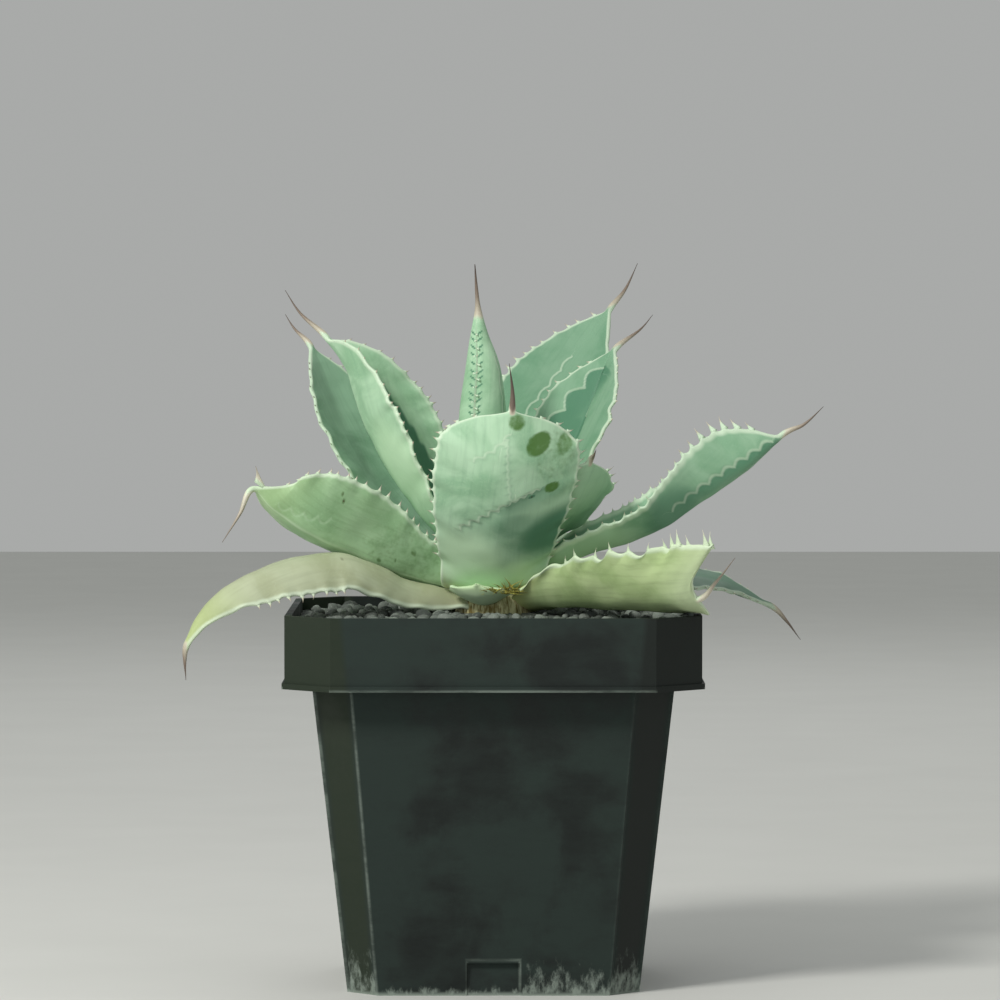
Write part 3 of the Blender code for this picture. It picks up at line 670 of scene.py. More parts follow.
@dataclass(frozen=True)
class Imprint:
    """The print that another leaf's margin left on this one while both were rolled in the bud.

    Places are (share of the leaf's length, share of its half width). The skin on the line's left, going from
    start to end on the flat leaf, stands a little proud; on its right it is painted darker, as painted shade, and
    the dents that its teeth left are painted dark, as painted shadow.
    """

    face: Face
    start: tuple[float, float]
    end: tuple[float, float]
    bow: float = 0.0                # sideways, mm
    scallops: int = 6
    scallop: float = 0.9            # mm, below 0 they bulge to the right
    relief: float = 0.22            # mm
    strength: float = 0.8           # of its pale line
    tooth: float = 0.0              # length of the dents that its teeth left, painted dark as shadow, mm, below 0 to the right
    shade: float = 0.0              # how much painted shade darkens the skin on its right
    reach: float = 5.0              # how far that goes, mm
    beyond: float = 0.0             # how far it goes on past the line's ends, mm; 0 is as far as its reach

    # Shared by all prints, mm
    end_fade: float = 1.5           # how fast the relief ends past the line's ends
    proud_width: float = 2.5
    hollow_width: float = 1.2
    hollow_share: float = 0.6       # of the relief
    line_width: float = 0.3
    tooth_width: float = 0.75
    tooth_slant: float = 0.35

    def fields(self, start: np.ndarray, end: np.ndarray, x: np.ndarray, y: np.ndarray) -> tuple[np.ndarray, ...]:
        """What it does to a face.

        Args:
            start: Where it starts on the flat leaf, mm.
            end: Where it ends.
            x: Each point's place along the flat leaf.
            y: Its place across.

        Returns:
            Signed distance, relief in mm and deeper tone, which is painted shade and painted shadow.
        """
        length = np.linalg.norm(end - start)
        ahead = (end - start) / length
        v = ((x - start[0]) * ahead[0] + (y - start[1]) * ahead[1]) / length
        offset = (y - start[1]) * ahead[0] - (x - start[0]) * ahead[1]
        phase = math.pi * self.scallops * v
        bowed = self.bow * 4 * v * (1 - v)
        slope = (self.bow * 4 * (1 - 2 * v) + self.scallop * math.pi * self.scallops * np.cos(phase)
                 * np.sign(np.sin(phase))) / length
        distance = (offset - bowed - self.scallop * np.abs(np.sin(phase))) / np.sqrt(1 + slope ** 2)
        over = np.maximum(np.maximum(-v, v - 1), 0) * length
        swell = np.where(distance > 0, np.exp(-np.abs(distance) / self.proud_width),
                         -self.hollow_share * np.exp(-np.abs(distance) / self.hollow_width))
        fading = smooth(1 + np.minimum(offset - bowed, 0) / self.reach)
        below = np.clip(-distance / self.line_width, 0, 1) * fading
        tone = self.shade * (below * smooth(1 - over / (self.beyond or self.reach)))
        if self.tooth:
            cusp = np.clip(np.round(v * self.scallops), 0, self.scallops) / self.scallops
            foot = self.bow * 4 * cusp * (1 - cusp)
            tall = np.clip((offset - foot) / self.tooth, 0, 1) * self.tooth
            miss = np.hypot((v - cusp) * length - self.tooth_slant * tall, offset - foot - tall)
            tone = np.maximum(tone, self.strength * smooth(1.1 - miss / self.tooth_width))
        shown = self.relief * np.clip(1 - over / self.end_fade, 0, 1)
        return distance + np.copysign(over * 3, distance), shown * swell, tone


@dataclass(frozen=True)
class Spot:
    """A place where the wax was rubbed off."""

    face: Face
    place: tuple[float, float]
    radius: float                   # mm
    stretch: float = 1.0            # along the leaf
    strength: float = 1.0
    soft: float = 0.0               # up to 1, how gently it ends
    aslant: float = 0.0             # degrees by which it lies across the leaf


@dataclass(frozen=True)
class Stain:
    """A place in the skin of another tone.

    Up to strength 1 it is a deeper green, from there to 2 it turns to a brown scar, and below 0 it is pale. Most
    broad deeper stains are painted shade and broad pale ones painted light; the small brown ones are scars.
    """

    face: Face
    place: tuple[float, float]
    radius: float                   # mm
    stretch: float = 1.0            # along the leaf
    strength: float = 2.0
    aslant: float = 0.0             # degrees by which it lies across the leaf


@dataclass(frozen=True)
class LongTooth:
    """A single tooth that is larger than its neighbours."""

    side: int
    place: float
    height: float
    lean: float = 0.0
    breadth: float = 1.0            # of its foot
    bend: float = 2.0               # 1 leans straight, above that it curves


@dataclass(frozen=True)
class Tooth:
    """One tooth as it stands on its margin, in mm."""

    side: int
    along: float
    height: float
    lean: float
    breadth: float = 1.0
    bend: float = 2.0
    most: float = 1.6               # swelling under a large tooth, as a share of that under a usual one

    def swelling(self, tubercle: float, usual: float) -> float:
        """How far the margin swells under it."""
        return tubercle * min(self.height / usual, self.most)


def two_waves(along: np.ndarray, lengths: tuple[float, float], short: float, rng: random.Random) -> np.ndarray:
    """A long wave and a shorter one over it, with random phases.

    Args:
        along: Places in mm.
        lengths: The lengths of the two, mm.
        short: Strength of the shorter one; the longer one's is 1.
        rng: Random numbers.

    Returns:
        Heights.
    """
    first, second = (rng.uniform(0, math.tau) for _ in lengths)
    return (np.sin(along / lengths[0] * math.tau + first)
            + short * np.sin(along / lengths[1] * math.tau + second))


@dataclass(frozen=True)
class Stations:
    """What a leaf is built on, station by station, in mm."""

    line: np.ndarray
    along: np.ndarray               # how far from the stem
    length: float                   # of the blade
    t: np.ndarray                   # share of that length, over 1 on the spine
    tangent: np.ndarray
    side: np.ndarray                # to the left
    up: np.ndarray                  # to the inner face
    wide: np.ndarray                # half width

    @property
    def spine_length(self) -> float:
        """Length of the spine."""
        return self.along[-1] - self.length


@dataclass(frozen=True)
class AgaveLeaf:
    """One leaf in mm: its outer keel line from the stem to the foot of its spine, then the spine."""

    name: str
    azimuth: float                  # direction that it grows in, degrees from +X
    keel: tuple
    spine: tuple
    half_width: float
    cup: float                      # depth of its channel, in half widths
    roll: tuple[float, float] = (0.0, 0.0)      # degrees about its own line, at its foot and its end
    widest: float = 0.62            # share of its length where it is widest
    base: float = 0.24              # half width at its foot, as a share of the greatest
    blunt: float = 2.2              # the higher, the blunter its end
    fill: float = 1.0               # the lower, the sooner it widens
    sweep: tuple[float, float] = (0.0, 0.0)     # how far its margins lead the keel, in half widths
    sweep_power: float = 2.0
    turn: tuple[float, float] = (0.0, 1.0)      # where the roll starts and stops changing
    slot: Slot = Slot.MINT
    toothed: bool = True
    tooth: float = 1.7              # height, mm
    tip_tooth: float = 1.7          # height near the tip
    pitch: float = 4.6              # spacing of the teeth
    lean: float = 0.25
    tooth_shade: float = 0.32       # how brown their points are
    spine_shade: float = 0.0        # how brown the spine is at its foot
    depth: float = 0.0              # how much deeper its green is all over
    paleness: float = 0.0           # how pale it is all over
    ripple: float = 0.35            # waviness of the margins out of the leaf's plane
    waver: float = 0.0              # waviness of the margins in its plane
    tubercle: float = 0.75          # swelling of the margin under each tooth
    tubercle_width: float = 1.25
    cup_power: float = 1.6          # shape of the channel: 1 is a plain V, 2 a round trough
    bare_margins: tuple[tuple[int, float, float], ...] = ()     # side and stretch that have no teeth
    imprints: tuple[Imprint, ...] = ()
    spots: tuple[Spot, ...] = ()
    stains: tuple[Stain, ...] = ()
    long_teeth: tuple[LongTooth, ...] = ()

    # Shared by all leaves, mm
    step: float = 0.43              # between stations
    across: int = 45                # points from margin to margin on each face
    spine_radius: float = 1.15
    cup_start: float = 0.3
    cup_growth: float = 4.0
    edge: float = 1.0               # thickness at the margin
    edge_round: float = 0.35
    thickness: tuple = ((0.0, 3.2), (0.3, 4.4), (1.0, 2.0))
    thin_below: float = 6.0
    tooth_from: float = 0.14        # share of its length where the teeth start
    tooth_to: float = 0.965
    tip_from: float = 0.55          # share of its length from which they change to those near the tip
    tip_over: float = 0.25          # and over what share they do
    height_spread: tuple[float, float] = (0.7, 1.2)
    lean_spread: float = 0.35
    pitch_spread: tuple[float, float] = (0.7, 1.25)
    closer: float = 0.25            # share by which they stand closer at the tip
    unevenness: float = 0.22
    tooth_sides: int = 7
    tooth_rings: int = 6
    tooth_thickness: float = 0.4
    tooth_foot: tuple[float, float] = (0.42, 0.24)      # half width of a tooth's foot, and its growth with height
    tooth_point: float = 0.04       # share of that which is left at its point
    tooth_curl: float = 0.18        # how far it may curl out of the blade
    sunk: float = 0.3               # how deep a tooth's foot sits in the margin
    swell_share: float = 0.4        # and in the swelling under it
    cordless: float = 5.0           # keeps the pale cord off a leaf that has lost its margin
    tooth_gap: float = 2.0          # an even tooth this near a long one is left out
    spread: float = 0.55            # how evenly the points lie across, 1 is even, 0 closest at the margins
    margin_waves: tuple[float, float] = (13.0, 7.3)     # lengths of the waves out of the leaf's plane
    edge_waves: tuple[float, float] = (15.0, 8.1)       # and in its plane
    face_waves: tuple[float, ...] = (31.0, 17.0, 11.0)  # and of the soft unevenness
    turning: tuple[float, float] = (5.0, 2.5)           # how far before and past its end it turns round
    spine_point: float = 0.07       # share of the spine's radius that is left at its point
    calming: float = 6.0            # the higher, the nearer to the end the waves go on
    relief_power: int = 8           # an imprint's relief ends at the margin: the higher, the nearer to it
    wave_power: int = 5             # and the waves and the push start there in the same way
    push_power: int = 9
    least_push: float = 0.3
    short_wave: float = 0.6         # strength of the shorter waves of margin_waves
    short_edge_wave: float = 0.7    # and of edge_waves
    rub_floor: float = 1.1          # how near a spot of no strength comes to its middle, in radii
    rub_depth: float = 0.25         # and how much nearer for each unit of strength
    stain_reach: float = 1.8        # a stain's edge in its radii
    stain_fade: float = 1.2         # and the width of its soft edge
    horn_from: float = 2.0          # how far before the spine its horn starts, on the keel
    horn_dip: float = 2.6           # and how much nearer to the point at the margins
    browning: float = 6.0           # how soon past its start the horn takes its spine_shade
    seam: float = 0.12              # half the angle that a margin takes of the round section
    face_offset: float = 40.0       # sets the veins of the two faces apart

    def seeded(self) -> random.Random:
        """Random numbers of this leaf's own, the same each run."""
        return random.Random(f"{SEED} {self.name}")

    def half_width_at(self, t: np.ndarray) -> np.ndarray:
        """Half width at shares of the blade's length.

        Args:
            t: Shares from 0 at the stem to 1 at the foot of the spine.

        Returns:
            Half widths in mm.
        """
        rising = self.base + (1 - self.base) * smooth((np.maximum(t, 0) / self.widest) ** self.fill)
        falling = 1 - (np.clip(t - self.widest, 0, None) / (1 - self.widest)) ** self.blunt
        share = np.where(t < self.widest, rising, falling)
        return (np.maximum(self.half_width * share, 0) ** 3 + self.spine_radius ** 3) ** (1 / 3)

    def frames(self, line: np.ndarray, t: np.ndarray) -> tuple[np.ndarray, np.ndarray, np.ndarray]:
        """Directions along, across and out of the upper face at each station.

        Args:
            line: Stations.
            t: Their shares of the blade's length, over 1 on the spine.

        Returns:
            Tangents, sides and ups.
        """
        tangent = unit(np.gradient(line, axis=0))
        azimuth = math.radians(self.azimuth)
        side = np.array([-math.sin(azimuth), math.cos(azimuth), 0.0])
        side = unit(side - (tangent @ side)[:, None] * tangent)
        up = np.cross(tangent, side)
        turned = np.clip((t - self.turn[0]) / (self.turn[1] - self.turn[0]), 0, 1)
        roll = np.radians(self.roll[0] + (self.roll[1] - self.roll[0]) * turned)[:, None]
        return tangent, side * np.cos(roll) + up * np.sin(roll), up * np.cos(roll) - side * np.sin(roll)

    def teeth(self, length: float) -> list[Tooth]:
        """The teeth of both margins.

        Args:
            length: The blade's length in mm.

        Returns:
            The single long ones first, then those of either margin.
        """
        rng = self.seeded()
        single = [Tooth(tooth.side, tooth.place * length, tooth.height, tooth.lean, tooth.breadth, tooth.bend)
                  for tooth in self.long_teeth]
        rows = []
        for side in SIDES:
            along = self.tooth_from * length + rng.uniform(0, self.pitch)
            while self.toothed and along < self.tooth_to * length:
                share = along / length
                near_tip = float(smooth((share - self.tip_from) / self.tip_over))
                height = self.tooth + (self.tip_tooth - self.tooth) * near_tip
                tooth = Tooth(side, along, height * rng.uniform(*self.height_spread),
                              self.lean + rng.uniform(-self.lean_spread, self.lean_spread))
                crowded = any(other.side == side and abs(other.along - along) < self.tooth_gap
                              for other in single)
                if not crowded and not any(s == side and a < share < b for s, a, b in self.bare_margins):
                    rows.append(tooth)
                along += self.pitch * rng.uniform(*self.pitch_spread) * (1 - self.closer * share)
        return single + rows

    def place_of(self, place: tuple[float, float], length: float) -> np.ndarray:
        """Where a (share along, share across) lies on the flat leaf, in mm."""
        t, across = place
        return np.array([t * length, across * float(self.half_width_at(np.array([t]))[0])])

    def imprint_fields(self, face: Face, x: np.ndarray, y: np.ndarray, length: float) -> tuple[np.ndarray, ...]:
        """What the imprints do to a face.

        Args:
            face: Which face.
            x: Each point's place along the flat leaf in mm.
            y: Its place across.
            length: The blade's length.

        Returns:
            Signed distance to the nearest print, that print's strength, relief in mm and deeper tone, which is
            painted shade.
        """
        nearest, strength = np.full(x.shape, NO_PRINT), np.zeros(x.shape)
        relief, tone = np.zeros(x.shape), np.zeros(x.shape)
        for mark in self.imprints:
            if mark.face is not face:
                continue
            start, end = self.place_of(mark.start, length), self.place_of(mark.end, length)
            far, lift, deeper = mark.fields(start, end, x, y)
            relief, tone = relief + lift, np.maximum(tone, deeper)
            closer = np.abs(far) < np.abs(nearest)
            nearest, strength = np.where(closer, far, nearest), np.where(closer, mark.strength, strength)
        return nearest, strength, relief, tone

    def rub_and_stains(self, face: Face, x: np.ndarray, y: np.ndarray, length: float) -> tuple[np.ndarray, ...]:
        """Rubbed spots and stains of a face.

        Args:
            face: Which face.
            x: Each point's place along the flat leaf in mm.
            y: Its place across.
            length: The blade's length.

        Returns:
            Distance to the nearest rubbed spot, in spot radii, the stains' strength and that of the pale places.
        """
        def away(mark: Spot | Stain) -> np.ndarray:
            """Distance from a round mark's middle in its radii."""
            middle, turn = self.place_of(mark.place, length), math.radians(mark.aslant)
            ahead = (x - middle[0]) * math.cos(turn) + (y - middle[1]) * math.sin(turn)
            beside = (y - middle[1]) * math.cos(turn) - (x - middle[0]) * math.sin(turn)
            return np.hypot(ahead / mark.stretch, beside) / mark.radius

        rub, stained, pale = (np.full(x.shape, level) for level in (UNRUBBED, self.depth, self.paleness))
        for spot in self.spots:
            if spot.face is face:
                level = 1 + (away(spot) - 1) * (1 - spot.soft)
                rub = np.minimum(rub, np.maximum(level, self.rub_floor - self.rub_depth * spot.strength))
        for stain in self.stains:
            if stain.face is face:
                share = smooth((self.stain_reach - away(stain)) / self.stain_fade)
                stained = np.maximum(stained, stain.strength * share)
                pale = np.maximum(pale, -stain.strength * share)
        return rub, stained, pale

    def waves(self, along: np.ndarray, wide: np.ndarray, s: np.ndarray, rng: random.Random) -> np.ndarray:
        """Waves along the margins and soft unevenness over the whole blade.

        Args:
            along: Each station's place in mm.
            wide: Its half width.
            s: Shares across.
            rng: Random numbers.

        Returns:
            Heights in mm, one row a station.
        """
        wave = np.zeros((len(along), len(s)))
        for side in SIDES:
            shape = two_waves(along, self.margin_waves, self.short_wave, rng)
            wave += self.ripple * shape[:, None] * np.where(s * side > 0, np.abs(s) ** self.wave_power, 0)
        for size in self.face_waves:
            a, b, c = (rng.uniform(0, math.tau) for _ in range(3))
            x, y = along[:, None] / size * math.tau, (wide[:, None] * s) / size * math.tau
            wave += (self.unevenness * size / self.face_waves[0] * np.sin(x * math.cos(c) + y * math.sin(c) + a)
                     * np.cos(y * math.cos(c) - x * math.sin(c) + b))
        return wave

    def margin_push(self, along: np.ndarray, s: np.ndarray, teeth: list[Tooth], rng: random.Random) -> np.ndarray:
        """How far each point is pushed outwards in the blade's plane.

        Args:
            along: Each station's place in mm.
            s: Shares across.
            teeth: The teeth, each of which stands on a swelling of the margin.
            rng: Random numbers.

        Returns:
            Pushes in mm, one row a station.
        """
        swelling = np.zeros((len(along), 2))
        for tooth in teeth:
            grown = tooth.swelling(self.tubercle, self.tooth)
            swelling[:, (tooth.side + 1) // 2] += grown * np.exp(
                -(np.abs(along - tooth.along) / self.tubercle_width) ** 1.5)
        for column in (0, 1):
            swelling[:, column] += self.waver * two_waves(along, self.edge_waves, self.short_edge_wave, rng)
        return np.where(s < 0, swelling[:, :1], swelling[:, 1:]) * np.abs(s) ** self.push_power

    def stations(self) -> Stations:
        """Lays out the stations along the blade and the spine."""
        path = np.array(self.keel + self.spine, float)
        foot = (len(self.keel) - 1) / (len(path) - 1)
        blade = even_stations(path, 0.0, foot, self.step)
        line = np.vstack([blade, even_stations(path, foot, 1.0, self.step)[1:]])
        along = lengths_along(line)
        length = along[len(blade) - 1]
        t = along / length
        tangent, side, up = self.frames(line, t)
        return Stations(line, along, length, t, tangent, side, up, self.half_width_at(np.minimum(t, 1.0)))

    def shares_across(self) -> np.ndarray:
        """Places across a face, from -1 at the right margin to 1 at the left, closer near both."""
        u = np.linspace(-1, 1, self.across)
        return (1 - self.spread) * np.sin(u * math.pi / 2) + self.spread * u

    def sheet(self, at: Stations, s: np.ndarray) -> tuple[np.ndarray, np.ndarray, np.ndarray]:
        """The outer face as it grows, before its waves and marks.

        Args:
            at: The stations.
            s: Shares across.

        Returns:
            Points in mm, directions to the inner face, and directions out of the nearer margin.
        """
        depth = (self.cup * smooth(np.minimum(at.t, 1.0) * self.cup_growth + self.cup_start))[:, None]
        rise = depth * np.abs(s) ** self.cup_power
        slope = np.sign(s) * self.cup_power * depth * np.abs(s) ** (self.cup_power - 1)
        ahead = np.where(s > 0, self.sweep[1], self.sweep[0]) * np.abs(s) ** self.sweep_power
        outer = at.line[:, None] + at.wide[:, None, None] * (
            at.side[:, None] * s[:, None] + at.up[:, None] * rise[..., None]
            + at.tangent[:, None] * ahead[:, None])
        normal = unit(at.up[:, None] - at.side[:, None] * slope[..., None])
        out = unit(at.side[:, None] + at.up[:, None] * slope[..., None]) * np.sign(s + 1e-9)[:, None]
        return outer, normal, out

    def rounded(self, at: Stations, ring: np.ndarray) -> np.ndarray:
        """Turns the blade's end round and draws it out to the spine.

        Args:
            at: The stations.
            ring: Rings of the blade.

        Returns:
            Rings of the blade and the spine.
        """
        share = np.clip((at.along - at.length) / at.spine_length, 0, 1)
        radius = self.spine_radius * (self.spine_point + (1 - self.spine_point) * (1 - share) ** 1.4)
        reach = np.where(at.t < 1, at.wide, radius)
        half_turn = np.linspace(self.seam, math.pi - self.seam, self.across)
        angle = np.concatenate([math.pi + half_turn, [0.0], half_turn, [math.pi]])
        round_ring = (at.line + at.up * radius[:, None])[:, None] + (
            at.side[:, None] * (np.cos(angle) * reach[:, None])[..., None]
            + at.up[:, None] * (np.sin(angle) * radius[:, None])[..., None])
        blend = smooth((at.along - at.length + self.turning[0]) / sum(self.turning))[:, None, None]
        return ring * (1 - blend) + round_ring * blend

    def marks(self, at: Stations, s: np.ndarray, prints: np.ndarray, rubs: np.ndarray) -> dict[str, np.ndarray]:
        """What the skin reads at each point of the blade and the spine.

        Args:
            at: The stations.
            s: Shares across.
            prints: What the imprints leave, in the rings' order.
            rubs: What rubbed spots, and stains and imprints together, leave, in the same order.

        Returns:
            The marks by name.
        """
        across = np.concatenate([s, [1.0], s[::-1], [-1.0]])
        is_inner = np.concatenate([np.zeros(self.across), [0.5], np.ones(self.across), [0.5]])
        along, wide = at.along[:, None], at.wide[:, None]
        inward = wide * (1 - np.abs(across)) + (0.0 if self.toothed else self.cordless)
        horn = np.clip((along - at.length + self.horn_from - self.horn_dip * np.abs(across) ** 1.5)
                       / (at.spine_length + self.horn_from), 0, 1)
        horn = np.where(horn > 0, self.spine_shade * smooth(horn * self.browning)
                        + (1 - self.spine_shade) * horn, 0)
        return {
            "place": stacked(at.t[:, None], across, is_inner),
            "marks": np.concatenate([inward[..., None], rubs], -1),
            "print": prints,
            "run": stacked(along, wide * across, is_inner * self.face_offset),
            "horn": (horn * self.toothed)[..., None],
        }

    def mesh(self) -> RingMesh:
        """Builds the leaf: blade, spine and teeth, with the marks that its skin reads.

        Returns:
            The mesh.
        """
        at, s, rng = self.stations(), self.shares_across(), self.seeded()
        outer, normal, out = self.sheet(at, s)
        calm = smooth((1.0 - at.t) * self.calming)[:, None]
        outer = outer + normal * (self.waves(at.along, at.wide, s, rng) * calm)[..., None]
        thick = np.interp(np.minimum(at.t, 1.0), *zip(*self.thickness)) - self.edge
        swell = thick * np.minimum(at.wide / self.thin_below, 1.0)
        inner = outer + normal * (self.edge + swell[:, None] * (1 - s ** 2))[..., None]

        flat = np.broadcast_arrays(at.along[:, None], at.wide[:, None] * s)
        prints, rubs, lifts = [], [], []
        for face, way in ((OUTER, -1), (INNER, 1)):
            nearest, strength, relief, tone = self.imprint_fields(face, *flat, at.length)
            rub, stained, pale = self.rub_and_stains(face, *flat, at.length)
            prints.append(stacked(nearest, strength, pale))
            rubs.append(stacked(rub, np.maximum(tone, stained)))
            lifts.append(way * normal * (relief * calm * (1 - np.abs(s) ** self.relief_power))[..., None])

        teeth = self.teeth(at.length)
        push = out * (self.margin_push(at.along, s, teeth, rng) * np.maximum(calm, self.least_push))[..., None]
        outer, inner = outer + lifts[0] + push, inner + lifts[1] + push
        right, left = ((outer[:, [k]] + inner[:, [k]]) / 2 + out[:, [k]] * self.edge_round for k in (0, -1))
        ring = self.rounded(at, np.concatenate([outer, left, inner[:, ::-1], right], axis=1))

        # A ring runs over the outer face, the left margin, the inner face and the right margin
        prints, rubs = (np.concatenate([first, first[:, -1:], second[:, ::-1], first[:, :1]], axis=1)
                        for first, second in (prints, rubs))
        grown = RingMesh()
        grown.add(ring, **self.marks(at, s, prints, rubs))
        for tooth in teeth:
            k = int(np.argmin(np.abs(at.along - tooth.along)))
            column, margin = (0, ring[k, -1]) if tooth.side < 0 else (-1, ring[k, self.across])
            rings, shares = self.tooth_rings_on(tooth, margin, out[k, column], at.tangent[k],
                                                normal[k, column], rng)
            grown.add(rings, place=(at.t[k], tooth.side, 0.5), marks=(0.0, UNRUBBED, 0.0),
                      print=(NO_PRINT, 0.0, 0.0), run=(tooth.along, tooth.side * at.wide[k], self.face_offset / 2),
                      horn=(shares * self.tooth_shade)[:, None, None])
        return grown

    def tooth_rings_on(self, tooth: Tooth, margin: np.ndarray, away: np.ndarray, ahead: np.ndarray,
                       flat: np.ndarray, rng: random.Random) -> tuple[np.ndarray, np.ndarray]:
        """One curved, flattened tooth.

        Args:
            tooth: The tooth.
            margin: Point of the margin that it stands on.
            away: Direction out of the margin.
            ahead: Direction along the leaf.
            flat: Direction out of the blade.
            rng: Random numbers.

        Returns:
            Its rings and each one's share of the tooth's height.
        """
        inside = self.swell_share * tooth.swelling(self.tubercle, self.tooth) + self.sunk
        curl = rng.uniform(-self.tooth_curl, self.tooth_curl)
        rows = np.linspace(0, 1, self.tooth_rings)
        width = (self.tooth_foot[0] + self.tooth_foot[1] * tooth.height) * tooth.breadth
        middle = (margin + away * ((tooth.height + inside) * rows - inside)[:, None]
                  + ahead * (tooth.lean * tooth.height * rows ** tooth.bend)[:, None]
                  + flat * (curl * tooth.height * rows ** 2)[:, None])
        girth = np.clip((1 - rows) ** 1.5, self.tooth_point, None)
        rings = rings_round(middle, ahead * width, flat * self.tooth_thickness, girth, self.tooth_sides)
        return rings, rows ** 1.5

    def build(self, skins: dict[Slot, bpy.types.Material]) -> None:
        """Adds the leaf in place of its CAD node.

        Args:
            skins: The finish for each slot.
        """
        self.mesh().build(self.name + "_grown", skins[self.slot], self.slot, self.name)


